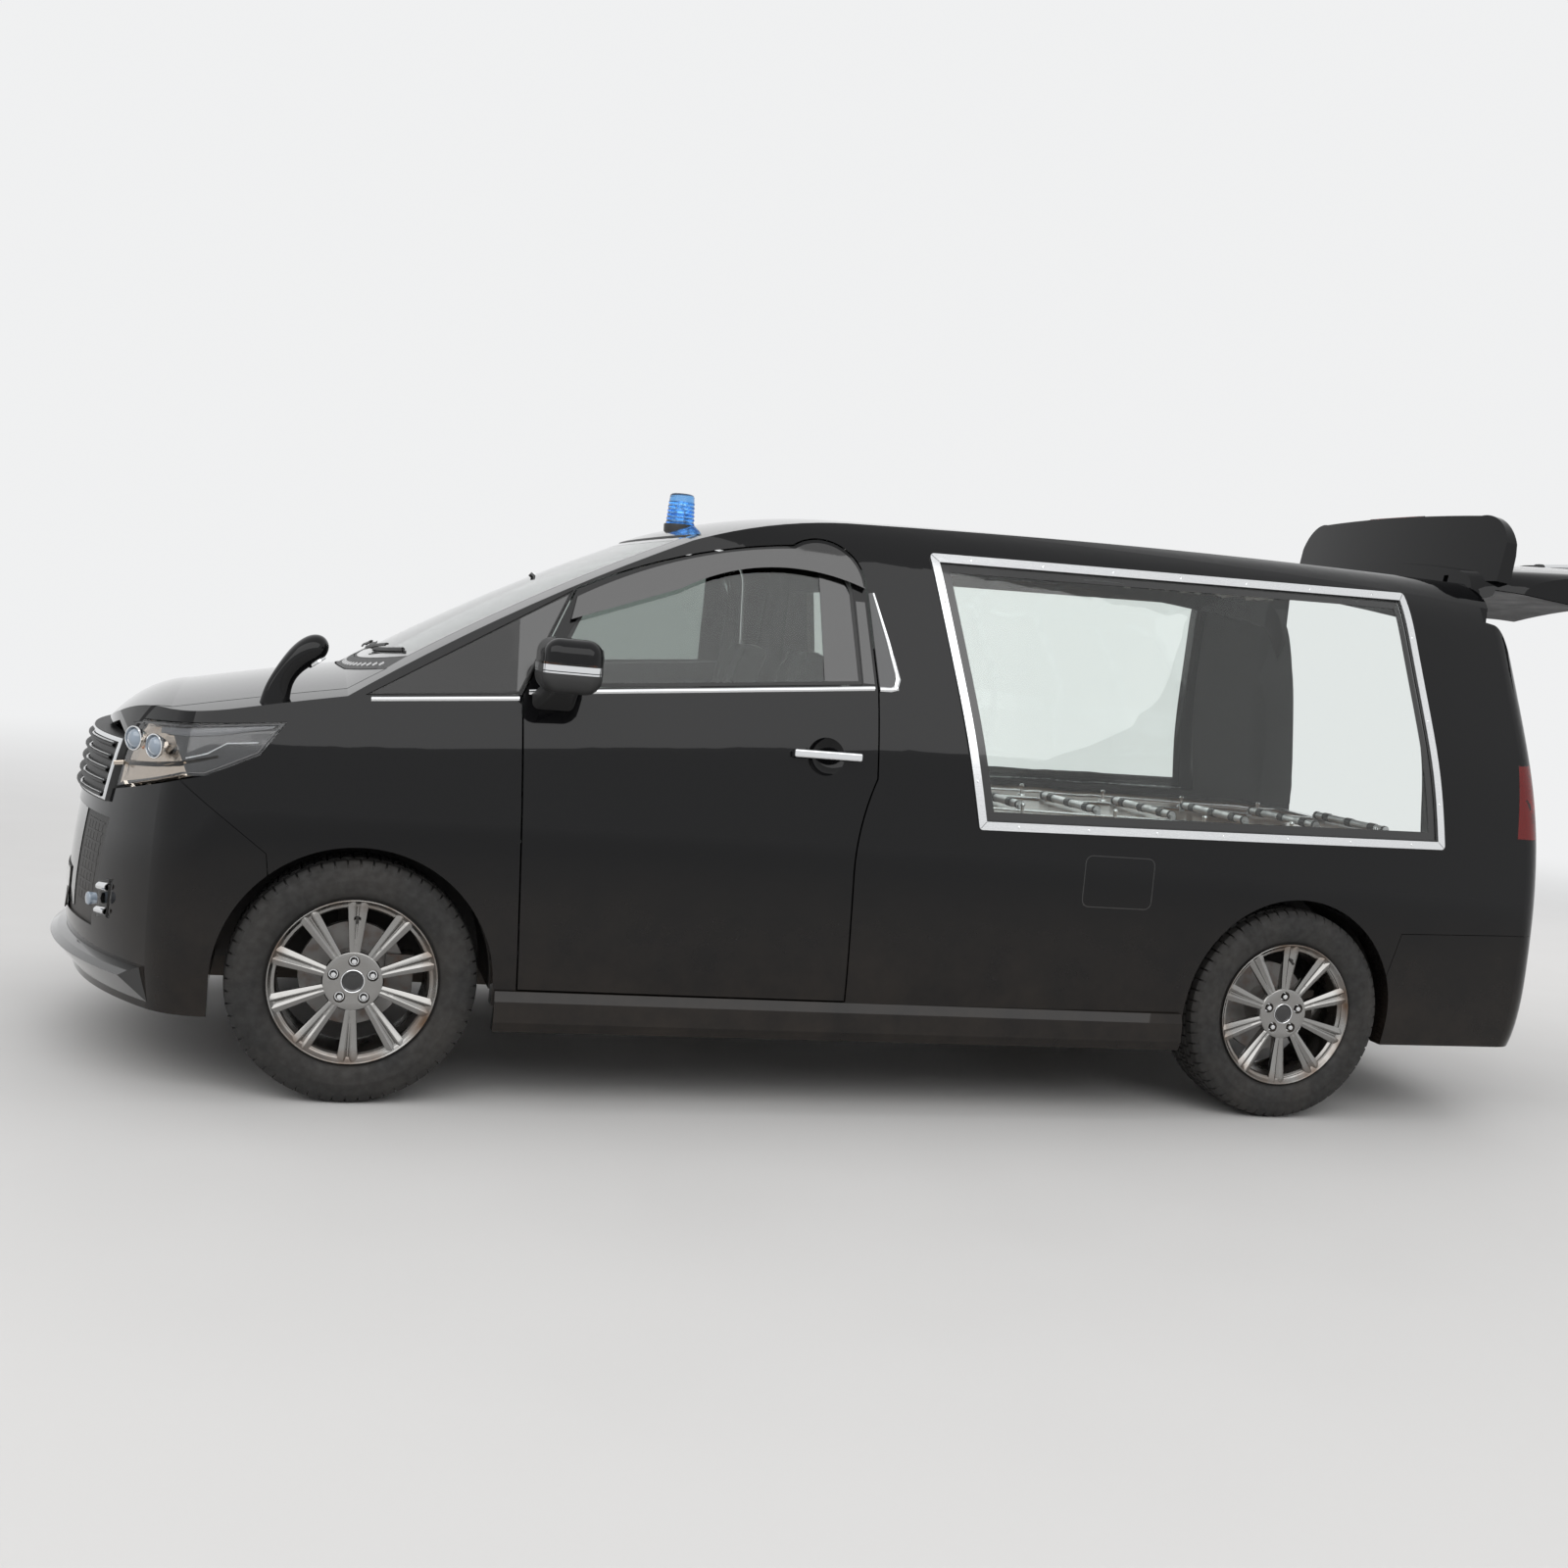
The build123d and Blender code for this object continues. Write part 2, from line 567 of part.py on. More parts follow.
def seat(y):
    base = block(380, 800, y - 190, y + 190, floor_z + seat_gap, 560)
    cushion = Pos(590, y, 620) * Box(560, 2 * seat_half, 150)
    cushion = fillet(cushion.edges(), 45)
    lean = radians(back_lean)
    back_plane = Plane(origin=(330, y, 640), x_dir=(0, 1, 0), z_dir=(-sin(lean), 0, cos(lean)))
    back = loft([
        back_plane * RectangleRounded(480, 130, 45),
        back_plane.offset(330) * RectangleRounded(500, 130, 45),
        back_plane.offset(600) * RectangleRounded(400, 90, 40),
    ])
    head = back_plane.offset(700) * Box(270, 100, 190)
    head = fillet(head.edges(), 30)
    posts = rod(tuple(back_plane.offset(560).from_local_coords((60, 0, 0))),
                tuple(back_plane.offset(660).from_local_coords((60, 0, 0))), 9)
    posts += rod(tuple(back_plane.offset(560).from_local_coords((-60, 0, 0))),
                 tuple(back_plane.offset(660).from_local_coords((-60, 0, 0))), 9)
    return one(base + cushion + back + head + posts)


nodes["seat_left"] = seat(seat_y)
nodes["seat_right"] = seat(-seat_y)

# Underside
rail_in, rail_out = 380, 450
rail_low, rail_high = 262, floor_z - floor_skin - seat_gap
arm_z = 222
rail_end = 2085
subframe = block(1020, rail_end, rail_in, rail_out, rail_low, rail_high)
subframe += block(1020, rail_end, -rail_out, -rail_in, rail_low, rail_high)
for x in (1240, 1760, rail_end - 70):
    subframe += block(x, x + 70, -rail_in - 1, rail_in + 1, rail_low, rail_high)
subframe += block(rail_end - 1, rail_end + 30, -470, 470, rail_low, 880)
for sign in (1, -1):
    subframe += rod((rail_end + 14, sign * 420, 870), (rail_end + 14, sign * 420, 1300), 12)
subframe &= Pos(0, 0, -hood_skin - seat_gap) * outer
for sign in (1, -1):
    inner_y, outer_y = sign * (rail_in + 20), sign * (kingpin_y - 2)
    plate = [(1400, inner_y), (1478, outer_y), (1522, outer_y), (1600, inner_y)]
    subframe += plan_prism(plate, arm_z, arm_z + 24)
    low, high = sorted((inner_y, sign * (rail_out - 10)))
    subframe += block(1440, 1560, low, high, arm_z, rail_low + 2)
    subframe += rod((front_axle_x, sign * 580, arm_z + 20), (front_axle_x, sign * 580, 560), 24)
    subframe += rod((front_axle_x, sign * 580, 330), (front_axle_x, sign * 580, 560), 42)
nodes["front_subframe"] = one(subframe)
engine = block(1560, 2060, -360, 360, rail_high + seat_gap, 880)
nodes["engine_block"] = chamfer(engine.edges().filter_by(Axis.Z), 60)

spindle_radius = 30
spindle_gap = 0.05
upright_low, upright_high = track / 2 - 100, track / 2 - 66


def upright(x):
    """Hub carrier with spindle and brake caliper, for a wheel on the left."""
    body = block(x - 38, x + 38, upright_low, upright_high, arm_z + 24 + seat_gap, axle_z + 130)
    body += y_disc(x, axle_z, 62, upright_low, upright_high)
    body += y_disc(x, axle_z, spindle_radius, upright_high - 1, track / 2 + 69.7)
    caliper = block(x - 172, x - 92, upright_low, track / 2 - 14, axle_z - 62, axle_z + 62)
    caliper = caliper + block(x - 120, x, upright_low, upright_high, axle_z - 40, axle_z + 40)
    caliper -= y_disc(x, axle_z, disc_radius + 5, track / 2 - 65, track / 2 - 33)
    caliper = caliper - y_disc(x, axle_z, 80, track / 2 - 40, track / 2 + 60)
    return one(body + caliper)


nodes["knuckle_left"] = upright(front_axle_x)
nodes["knuckle_right"] = mirrored(upright(front_axle_x))

beam_x, beam_z = -1330, 405
bracket_x = -1215
rear_floor_low = floor_z + floor_rise - floor_skin - seat_gap
rear_axle = y_disc(beam_x, beam_z, 46, -615, 615)
for sign in (1, -1):
    low, high = sorted((sign * 555, sign * 610))
    rear_axle += block(rear_axle_x - 60, bracket_x, low, high, 352, 412)
    rear_axle += block(bracket_x - 50, bracket_x, low, high, 411, rear_floor_low)
    low, high = sorted((sign * 560, sign * (upright_low + 2)))
    rear_axle += block(rear_axle_x - 45, rear_axle_x + 45, low, high, axle_z - 50, axle_z + 55)
    carrier = upright(rear_axle_x)
    rear_axle += carrier if sign > 0 else mirrored(carrier)
    rear_axle += rod((rear_axle_x - 20, sign * 560, 380), (rear_axle_x - 20, sign * 560, rear_floor_low), 38)
nodes["rear_axle"] = one(rear_axle)

tank = block(-760, 180, -150, 420, 215, floor_z - floor_skin - seat_gap)
nodes["fuel_tank"] = fillet(tank.edges().filter_by(Axis.Z), 60)
pipe_radius = 27
pipe_z = 285
route = [(1010, -300, pipe_z), (760, -480, pipe_z), (-1650, -480, pipe_z), (-1950, -480, 330)]
exhaust = rod(route[0], route[1], pipe_radius)
for start, end in zip(route[1:], route[2:]):
    exhaust += rod(start, end, pipe_radius) + Pos(*start) * Sphere(pipe_radius)
muffler = block(-2310, -1930, -640, -300, 262, 400)
exhaust += fillet(muffler.edges().filter_by(Axis.X), 50)
exhaust += rod((-2300, -560, 300), (-2365, -560, 262), 26)
for x, y in ((-2200, -600), (-2050, -360)):
    exhaust += rod((x, y, 398), (x, y, rear_floor_low), 8)
exhaust += rod((300, -480, pipe_z + 20), (300, -480, floor_z - floor_skin - seat_gap), 8)
nodes["exhaust"] = one(exhaust)

# Skirts, lip, lamps, beacon and fender mirror
body_clear = hull(-seat_gap, -seat_gap, -seat_gap)
skirt_view = [(868, 232), (916, 228), (930, 258), (928, 318), (914, 346), (868, 346)]
skirt = front_prism(skirt_view, -1100, 1105) - body_clear
nodes["side_skirts"] = Compound(both(one(skirt)))

lip_view = [(2150, 238), (2320, 248), (2392, 330), (2372, 344), (2300, 372), (2100, 372)]
lip_axis = Axis((1040, 0, 0), (0, 0, 1))
lip_face = face_of(side_plane, lip_view[0], lip_view[1:])
lip = revolve(lip_face.rotate(lip_axis, -42), lip_axis, 84)
lip -= hull(-seat_gap, -seat_gap, 0)
fog_view = [(608, 455), (608, 560), (668, 575), (668, 462)]
fog = one(hull_shell(-5, 38) & front_prism(fog_view, 2000, 2500, -seat_gap))
nodes["fog_lamps"] = Compound(both(fog))
beacon_x, beacon_radius, beacon_base_z, beacon_height = 492, 52, 1752, 128
dome_line = [(0, beacon_base_z - 40), (beacon_radius, beacon_base_z - 40), (beacon_radius, beacon_base_z + 22),
             (beacon_radius - 5, beacon_base_z + 24), (beacon_radius - 10, beacon_base_z + beacon_height - 14),
             ((beacon_radius - 14, beacon_base_z + beacon_height - 3),
              (beacon_radius - 26, beacon_base_z + beacon_height)),
             (0, beacon_base_z + beacon_height)]
dome = revolve(face_of(side_plane, dome_line[0], dome_line[1:]), Axis.Z, 360)
nodes["beacon"] = one(Pos(beacon_x, 0, 0) * dome - body_clear)
stalk = loft([
    Plane(origin=(1710, 812, 1100), x_dir=(1, 0, 0), z_dir=(0, 0, 1)) * Ellipse(46, 24),
    Plane(origin=(1725, 806, 1190), x_dir=(1, 0, 0), z_dir=(0, 0, 1)) * Ellipse(26, 17),
    Plane(origin=(1722, 804, 1248), x_dir=(1, 0, 0), z_dir=(0, 0, 1)) * Ellipse(24, 18),
])
pod = loft([
    Plane(origin=(1742, 804, 1240), x_dir=(0, 1, 0), z_dir=(-1, 0, 0.35)) * Ellipse(26, 20),
    Plane(origin=(1706, 804, 1262), x_dir=(0, 1, 0), z_dir=(-1, 0, 0.35)) * Ellipse(46, 36),
    Plane(origin=(1660, 804, 1280), x_dir=(0, 1, 0), z_dir=(-1, 0, 0.35)) * Ellipse(50, 38),
])
nodes["fender_mirror"] = one(stalk + pod - body_clear)
nodes["front_lip"] = one(lip & block(1900, 2500, -800, 800, 200, 400))


# Wheels
def axial_prism(points, low, high, round_by=0):
    """Outline across the wheel axis, standing between two values of y."""
    plane = Plane(origin=(0, low, 0), x_dir=(1, 0, 0), z_dir=(0, 1, 0))
    face = face_of(plane, points[0], points[1:])
    if round_by:
        face = fillet(face.vertices(), round_by)
    return extrude(face, high - low, dir=(0, 1, 0))


def at_angle(radius, across, turn):
    """Point at a radius, set across from the spoke's centre line, turned about the wheel axis."""
    x, z = (radius**2 - across**2) ** 0.5, across
    c, s = cos(radians(turn)), sin(radians(turn))
    return (x * c - z * s, x * s + z * c)


def wheel():
    """Rim with ten double spokes, hub and brake disc, its axis along Y, outboard face towards +Y."""
    y = track / 2
    barrel = rim_seat_radius - 8
    lip = rim_half - 12
    profile = [
        (0, y + hub_back), (hub_radius, y + hub_back), (barrel, y + hub_back + 14), (barrel, y - lip),
        (rim_radius - 10, y - rim_half), (rim_radius, y - rim_half), (rim_radius, y - lip),
        (rim_seat_radius, y - lip + 2), (rim_seat_radius, y + lip - 2), (rim_radius, y + lip),
        (rim_radius, y + rim_half), (rim_radius - 12, y + rim_half - 1), (rim_radius - 12, y + rim_half - 7),
        (spoke_end, y + hub_front + 10), (hub_radius + 12, y + hub_front), (0, y + hub_front),
    ]
    body = revolve(face_of(Plane.XY, profile[0], profile[1:]), Axis.Y, 360)
    tools = []
    pitch = 360 / spoke_pairs
    for k in range(spoke_pairs):
        turn = pitch * k
        window = [
            at_angle(hub_radius + 8, spoke_root_half, turn),
            at_angle(spoke_end, spoke_tip_half, turn),
            at_angle(spoke_end, -spoke_tip_half, turn + pitch),
            at_angle(hub_radius + 8, -spoke_root_half, turn + pitch),
        ]
        tools.append(axial_prism(window, y + 40, y + 110, 7))
        groove = [
            at_angle(hub_radius + 14, 3, turn), at_angle(spoke_end - 12, spoke_tip_half - 11, turn),
            at_angle(spoke_end - 12, 11 - spoke_tip_half, turn), at_angle(hub_radius + 14, -3, turn),
        ]
        tools.append(axial_prism(groove, y + hub_front - 7, y + 110))
    for k in range(lug_count):
        x, z = at_angle(lug_circle, 0, 360 / lug_count * k + 18)
        tools.append(y_disc(x, z, 15, y + hub_front - 14, y + 110))
    tools.append(y_disc(0, 0, spindle_radius + spindle_gap, y, y + 70))
    body = one(body.cut(*tools))
    disc = y_disc(0, 0, disc_radius, y - 62, y - 36)
    hat = y_disc(0, 0, 72, y - 37, y + hub_back - seat_gap)
    disc = one((disc + hat) - y_disc(0, 0, 34, y - 70, y + 70))
    return Compound([body, disc])


def tyre():
    y = track / 2
    bead = rim_half - 14.5
    profile = [
        (rim_seat_radius + seat_gap, y - bead),
        (rim_radius + 1, y - bead),
        ((292, y - tyre_half), (334, y - tyre_half + 8)),
        ((346, y - 92), (tyre_radius - 1, y - 78)),
        ((tyre_radius, y), (tyre_radius - 1, y + 78)),
        ((346, y + 92), (334, y + tyre_half - 8)),
        ((292, y + tyre_half), (rim_radius + 1, y + bead)),
        (rim_seat_radius + seat_gap, y + bead),
        (rim_seat_radius + seat_gap, y + bead - 16),
        ((290, y + tyre_half - 14), (334, y + 84)),
        (334, y - 84),
        ((290, y - tyre_half + 14), (rim_seat_radius + seat_gap, y - bead + 16)),
    ]
    return revolve(face_of(Plane.XY, profile[0], profile[1:]), Axis.Y, 360)


rim, rubber = wheel(), tyre()
for end, x in (("front", front_axle_x), ("rear", rear_axle_x)):
    place = Pos(x, 0, axle_z)
    nodes[f"rim_{end}_left"] = place * rim
    nodes[f"rim_{end}_right"] = place * mirrored(rim)
    nodes[f"tyre_{end}_left"] = place * rubber
    nodes[f"tyre_{end}_right"] = place * mirrored(rubber)

os.makedirs("parts", exist_ok=True)
front_x = max(shape.bounding_box().max.X for shape in nodes.values())
rear_x = min(shape.bounding_box().min.X for shape in nodes.values())
origin_x = (front_x + rear_x) / 2
print("front", round(front_x, 2), "rear", round(rear_x, 2), "origin", round(origin_x, 3))
for node, shape in nodes.items():
    placed = Pos(-origin_x, 0, 0) * shape
    export_step(placed, f"parts/{node}.step")
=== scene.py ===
import bmesh
import bpy
import math
from mathutils import Matrix, Vector
from mathutils.bvhtree import BVHTree


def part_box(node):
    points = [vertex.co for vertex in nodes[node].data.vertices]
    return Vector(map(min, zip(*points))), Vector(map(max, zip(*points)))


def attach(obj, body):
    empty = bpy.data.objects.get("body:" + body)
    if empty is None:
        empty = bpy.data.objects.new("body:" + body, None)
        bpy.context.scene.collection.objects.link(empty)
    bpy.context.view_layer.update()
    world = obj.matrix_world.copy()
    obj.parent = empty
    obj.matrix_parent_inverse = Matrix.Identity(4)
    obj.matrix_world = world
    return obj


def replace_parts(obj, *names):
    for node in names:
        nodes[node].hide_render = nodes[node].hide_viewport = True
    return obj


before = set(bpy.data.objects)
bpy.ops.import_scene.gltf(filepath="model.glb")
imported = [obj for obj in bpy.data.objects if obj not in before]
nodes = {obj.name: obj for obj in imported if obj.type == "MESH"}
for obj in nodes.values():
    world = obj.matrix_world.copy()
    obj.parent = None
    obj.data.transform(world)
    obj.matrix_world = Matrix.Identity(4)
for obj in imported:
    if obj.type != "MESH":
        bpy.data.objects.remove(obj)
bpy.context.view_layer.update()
scene = bpy.context.scene

# The car's own places: x is counted from the middle of the wheelbase, y to its left, z from the ground
tyreLow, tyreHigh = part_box("tyre_front_left")
rearLow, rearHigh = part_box("tyre_rear_left")
frontAxle = (tyreLow.x + tyreHigh.x) / 2
rearAxle = (rearLow.x + rearHigh.x) / 2
carMiddle = (frontAxle + rearAxle) / 2
axleHeight = (tyreLow.z + tyreHigh.z) / 2
wheelMiddle = (tyreLow.y + tyreHigh.y) / 2
halfBase = (frontAxle - rearAxle) / 2


def at(x, y, z):
    return Vector((x + carMiddle, y, z))


# Camera: where the photographer stood, worked out from the wheels, sills and roof
cameraPlace = {"x": 1.7288, "y": 5.7757, "z": 1.4357, "yaw": 16.335, "pitch": 4.919, "roll": 5.498, "lens": 39.375}


def placeCamera():
    yaw, pitch, roll = (math.radians(cameraPlace[k]) for k in ("yaw", "pitch", "roll"))
    ahead = Vector((-math.sin(yaw), -math.cos(yaw), 0))
    right = Vector((-math.cos(yaw), math.sin(yaw), 0))
    up = Vector((0, 0, 1))
    look = ahead * math.cos(pitch) - up * math.sin(pitch)
    top = up * math.cos(pitch) + ahead * math.sin(pitch)
    across = right * math.cos(roll) + top * math.sin(roll)
    top = top * math.cos(roll) - right * math.sin(roll)
    turn = Matrix((across, top, -look)).transposed().to_4x4()
    spot = at(cameraPlace["x"], cameraPlace["y"], cameraPlace["z"])
    bpy.ops.object.camera_add(location=spot)
    camera = bpy.context.object
    camera.name = "camera"
    camera.matrix_world = Matrix.Translation(spot) @ turn
    camera.data.lens = cameraPlace["lens"]
    camera.data.sensor_width = 36
    camera.data.sensor_fit = "AUTO"
    camera.data.clip_end = 200
    scene.camera = camera


placeCamera()
print("camera placed")


# A socket takes a plain value or a link
def feed(tree, socket, value):
    if isinstance(value, (int, float, tuple)):
        socket.default_value = value
    else:
        tree.links.new(value, socket)


def feedAll(tree, node, values):
    for label, value in values.items():
        feed(tree, node.inputs[label], value)


def addNode(tree, kind, values, **settings):
    node = tree.nodes.new("ShaderNode" + kind)
    for label, value in settings.items():
        setattr(node, label, value)
    feedAll(tree, node, values)
    return node


def mathNode(tree, operation, *values):
    return addNode(tree, "Math", dict(enumerate(values)), operation=operation).outputs[0]


def noiseFrom(tree, vector, scale, detail=2):
    return addNode(tree, "TexNoise", {"Vector": vector, "Scale": scale, "Detail": detail}).outputs["Fac"]


def spread(tree, value, low, high, start=0, end=1, shape="LINEAR"):
    values = {"Value": value, "From Min": low, "From Max": high, "To Min": start, "To Max": end}
    return addNode(tree, "MapRange", values, interpolation_type=shape).outputs["Result"]


def mixColors(tree, factor, first, second):
    return addNode(tree, "Mix", {"Factor": factor, "A": first, "B": second}, data_type="RGBA").outputs["Result"]


def clamped(tree, value):
    return addNode(tree, "Clamp", {"Value": value}).outputs["Result"]


def stretched(tree, vector, scale):
    return addNode(tree, "Mapping", {"Scale": scale, "Vector": vector}).outputs["Vector"]


# Shared material effects, each a node group: inputs are numbers with a default, after the vector
def newGroup(name, inputs, output):
    group = bpy.data.node_groups.new(name, "ShaderNodeTree")
    group.interface.new_socket(name="Vector", in_out="INPUT", socket_type="NodeSocketVector")
    for label, value in inputs.items():
        group.interface.new_socket(name=label, in_out="INPUT", socket_type="NodeSocketFloat").default_value = value
    group.interface.new_socket(name=output, in_out="OUTPUT", socket_type="NodeSocketFloat")
    return group, group.nodes.new("NodeGroupInput").outputs, group.nodes.new("NodeGroupOutput").inputs[output]


def makeVaryGroup():
    group, source, drain = newGroup("variation", {"Scale": 8, "Low": 0.2, "High": 0.4}, "Value")
    noise = noiseFrom(group, source["Vector"], source["Scale"], 5)
    feed(group, drain, spread(group, noise, 0.3, 0.7, source["Low"], source["High"]))
    return group


# Road dust: thick near the ground, patchy, gone above a given height
def makeDustGroup():
    group, source, drain = newGroup("roadDust", {"Height": 0.5, "Amount": 0.5, "Scale": 7}, "Mask")
    rise = addNode(group, "SeparateXYZ", {"Vector": source["Vector"]}).outputs["Z"]
    noise = addNode(group, "TexNoise", {"Vector": source["Vector"], "Scale": source["Scale"], "Detail": 8,
                                        "Roughness": 0.65}).outputs["Fac"]
    fall = mathNode(group, "SUBTRACT", 1, mathNode(group, "DIVIDE", rise, source["Height"]))
    patch = mathNode(group, "MULTIPLY_ADD", noise, 1.4, -0.2)
    mask = mathNode(group, "MULTIPLY", mathNode(group, "MULTIPLY", fall, patch), source["Amount"])
    feed(group, drain, clamped(group, mask))
    return group


varyGroup = makeVaryGroup()
dustGroup = makeDustGroup()
dustColor = (0.23, 0.17, 0.12, 1)


def newMaterial(name, color, rough, metal=0):
    mat = bpy.data.materials.new(name)
    mat.use_nodes = True
    tree = mat.node_tree
    shader = tree.nodes["Principled BSDF"]
    feedAll(tree, shader, {"Base Color": (*color, 1), "Roughness": rough, "Metallic": metal})
    return mat, tree, shader, tree.nodes.new("ShaderNodeTexCoord").outputs["Object"]


def varied(tree, coords, scale, low, high):
    values = {"Vector": coords, "Scale": scale, "Low": low, "High": high}
    return addNode(tree, "Group", values, node_tree=varyGroup).outputs["Value"]


def bumpFrom(tree, height, strength, distance, shader):
    bump = addNode(tree, "Bump", {"Strength": strength, "Distance": distance, "Height": height})
    feed(tree, shader.inputs["Normal"], bump.outputs["Normal"])


# Mixes road dust over a colour and makes the dusty parts duller
def dusted(tree, coords, shader, color, height, amount, roughLow, roughHigh):
    values = {"Vector": coords, "Height": height, "Amount": amount, "Scale": 7}
    mask = addNode(tree, "Group", values, node_tree=dustGroup).outputs["Mask"]
    feedAll(tree, shader, {"Base Color": mixColors(tree, mask, (*color, 1), dustColor),
                           "Roughness": mathNode(tree, "MULTIPLY_ADD", mask, roughHigh - roughLow, roughLow)})


def makePaint():
    color = (0.004, 0.004, 0.0045)
    mat, tree, shader, coords = newMaterial("glossBlackPaint", color, 0.1)
    dusted(tree, coords, shader, color, 0.75, 0.16, 0.09, 0.7)
    feedAll(tree, shader, {"Coat Weight": 0.62, "Coat IOR": 1.42, "Coat Roughness": 0.012, "Specular IOR Level": 0.04})
    return mat


def makeChrome(name="brightChrome", color=(0.74, 0.75, 0.76)):
    mat, tree, shader, coords = newMaterial(name, color, 0.06, 1)
    feed(tree, shader.inputs["Roughness"], varied(tree, coords, 14, 0.03, 0.1))
    return mat


def makePolished():
    mat, tree, shader, coords = newMaterial("polishedAluminium", (0.78, 0.79, 0.8), 0.2, 1)
    streak = varied(tree, stretched(tree, coords, (6, 300, 300)), 4, 0.16, 0.34)
    feed(tree, shader.inputs["Roughness"], streak)
    bumpFrom(tree, streak, 0.15, 0.0004, shader)
    return mat


def makeGlass(name, color, rough=0, gloss=0.25):
    mat, tree, shader, coords = newMaterial(name, color, rough)
    feedAll(tree, shader, {"Transmission Weight": 1, "IOR": 1.45, "Specular IOR Level": gloss})
    if rough:
        feed(tree, shader.inputs["Roughness"], varied(tree, coords, 3, rough, rough + 0.012))
    return mat


def makePlastic(name, color, low, high, grain=0, grainScale=900, coat=0, dust=0):
    mat, tree, shader, coords = newMaterial(name, color, (low + high) / 2)
    if dust:
        dusted(tree, coords, shader, color, 0.8, dust, low, 0.9)
    else:
        feed(tree, shader.inputs["Roughness"], varied(tree, coords, 9, low, high))
    feedAll(tree, shader, {"Coat Weight": coat, "Coat Roughness": 0.03})
    if grain:
        leather = addNode(tree, "TexVoronoi", {"Scale": grainScale, "Vector": coords})
        bumpFrom(tree, leather.outputs["Distance"], grain, 0.0006, shader)
    return mat


def makeRubber():
    color = (0.016, 0.0155, 0.015)
    mat, tree, shader, coords = newMaterial("tyreRubber", color, 0.8)
    dust = clamped(tree, mathNode(tree, "MULTIPLY_ADD", noiseFrom(tree, coords, 7, 5), 1.1, -0.38))
    feedAll(tree, shader, {"Base Color": mixColors(tree, dust, (*color, 1), (0.05, 0.044, 0.038, 1)),
                           "Roughness": varied(tree, coords, 40, 0.62, 0.92)})
    bumpFrom(tree, noiseFrom(tree, coords, 500), 0.25, 0.0006, shader)
    return mat


# Distance from the nearest wheel axis, the same for all four wheels
def wheelRadius(tree, coords):
    split = addNode(tree, "SeparateXYZ", {"Vector": coords})
    along = mathNode(tree, "ABSOLUTE", mathNode(tree, "SUBTRACT", split.outputs["X"], carMiddle))
    squares = [mathNode(tree, "POWER", mathNode(tree, "ABSOLUTE", mathNode(tree, "SUBTRACT", value, middle)), 2)
               for value, middle in ((along, halfBase), (split.outputs["Z"], axleHeight))]
    return mathNode(tree, "SQRT", mathNode(tree, "ADD", *squares))


def makeRimMetal():
    mat, tree, shader, coords = newMaterial("rimSilver", (0.5, 0.5, 0.5), 0.25, 1)
    edge = spread(tree, wheelRadius(tree, coords), 0.19, 0.232)
    speck = spread(tree, noiseFrom(tree, coords, 9, 8), 0.4, 0.68)
    grime = mathNode(tree, "MULTIPLY", edge, speck)
    feedAll(tree, shader, {"Base Color": mixColors(tree, grime, (0.3, 0.295, 0.285, 1), (0.16, 0.105, 0.07, 1)),
                           "Roughness": mathNode(tree, "MULTIPLY_ADD", grime, 0.4, 0.2)})
    return mat


def makeIron(name, color, rust):
    mat, tree, shader, coords = newMaterial(name, color, 0.55, 0.8)
    noise = noiseFrom(tree, coords, 26, 8)
    patches = spread(tree, noise, 0.48, 0.7, 0, rust)
    feedAll(tree, shader, {"Base Color": mixColors(tree, patches, (*color, 1), (0.22, 0.09, 0.04, 1)),
                           "Roughness": mathNode(tree, "MULTIPLY_ADD", noise, 0.6, 0.2)})
    bumpFrom(tree, noise, 0.3, 0.001, shader)
    return mat


def makeCloth():
    mat, tree, shader, coords = newMaterial("seatCloth", (0.03, 0.03, 0.033), 0.85)
    weave = addNode(tree, "TexWave", {"Scale": 260, "Distortion": 1.2, "Vector": coords})
    cross = addNode(tree, "TexWave", {"Scale": 260, "Vector": coords}, bands_direction="Z")
    both = mathNode(tree, "MULTIPLY", weave.outputs["Fac"], cross.outputs["Fac"])
    feedAll(tree, shader, {"Base Color": mixColors(tree, both, (0.045, 0.045, 0.048, 1), (0.13, 0.13, 0.135, 1)),
                           "Sheen Weight": 0.4})
    bumpFrom(tree, both, 0.35, 0.0008, shader)
    return mat


def makeWood():
    mat, tree, shader, coords = newMaterial("varnishedDeck", (0.3, 0.17, 0.08), 0.3)
    noise = noiseFrom(tree, stretched(tree, coords, (1.2, 14, 14)), 3, 9)
    ramp = addNode(tree, "ValToRGB", {"Fac": noise})
    stops = ((0.3, (0.12, 0.055, 0.022, 1)), (0.72, (0.36, 0.2, 0.095, 1)))
    for element, (place, color) in zip(ramp.color_ramp.elements, stops):
        element.position, element.color = place, color
    feedAll(tree, shader, {"Base Color": ramp.outputs["Color"], "Coat Weight": 0.6, "Coat Roughness": 0.12})
    bumpFrom(tree, noise, 0.15, 0.001, shader)
    return mat


paint = makePaint()
chrome = makeChrome()
polished = makePolished()
clearGlass = makeGlass("clearGlass", (0.86, 0.9, 0.88), gloss=0.06)
darkGlass = makeGlass("privacyGlass", (0.1, 0.1, 0.105))
quarterTint = makeGlass("quarterGlassTint", (0.02, 0.018, 0.018))
cabinGlass = makeGlass("cabinGlass", (0.42, 0.46, 0.44), gloss=0.06)
screenGlass = makeGlass("windscreenGlass", (0.4, 0.43, 0.42))
smoked = makePlastic("smokedPlastic", (0.022, 0.021, 0.021), 0.05, 0.12, coat=0.6)
lampGlass = makeGlass("lampLens", (0.95, 0.96, 0.97))
redLens = makeGlass("redLens", (0.32, 0.006, 0.005), 0.05)
amberLens = makeGlass("amberLens", (0.95, 0.32, 0.03), 0.05)
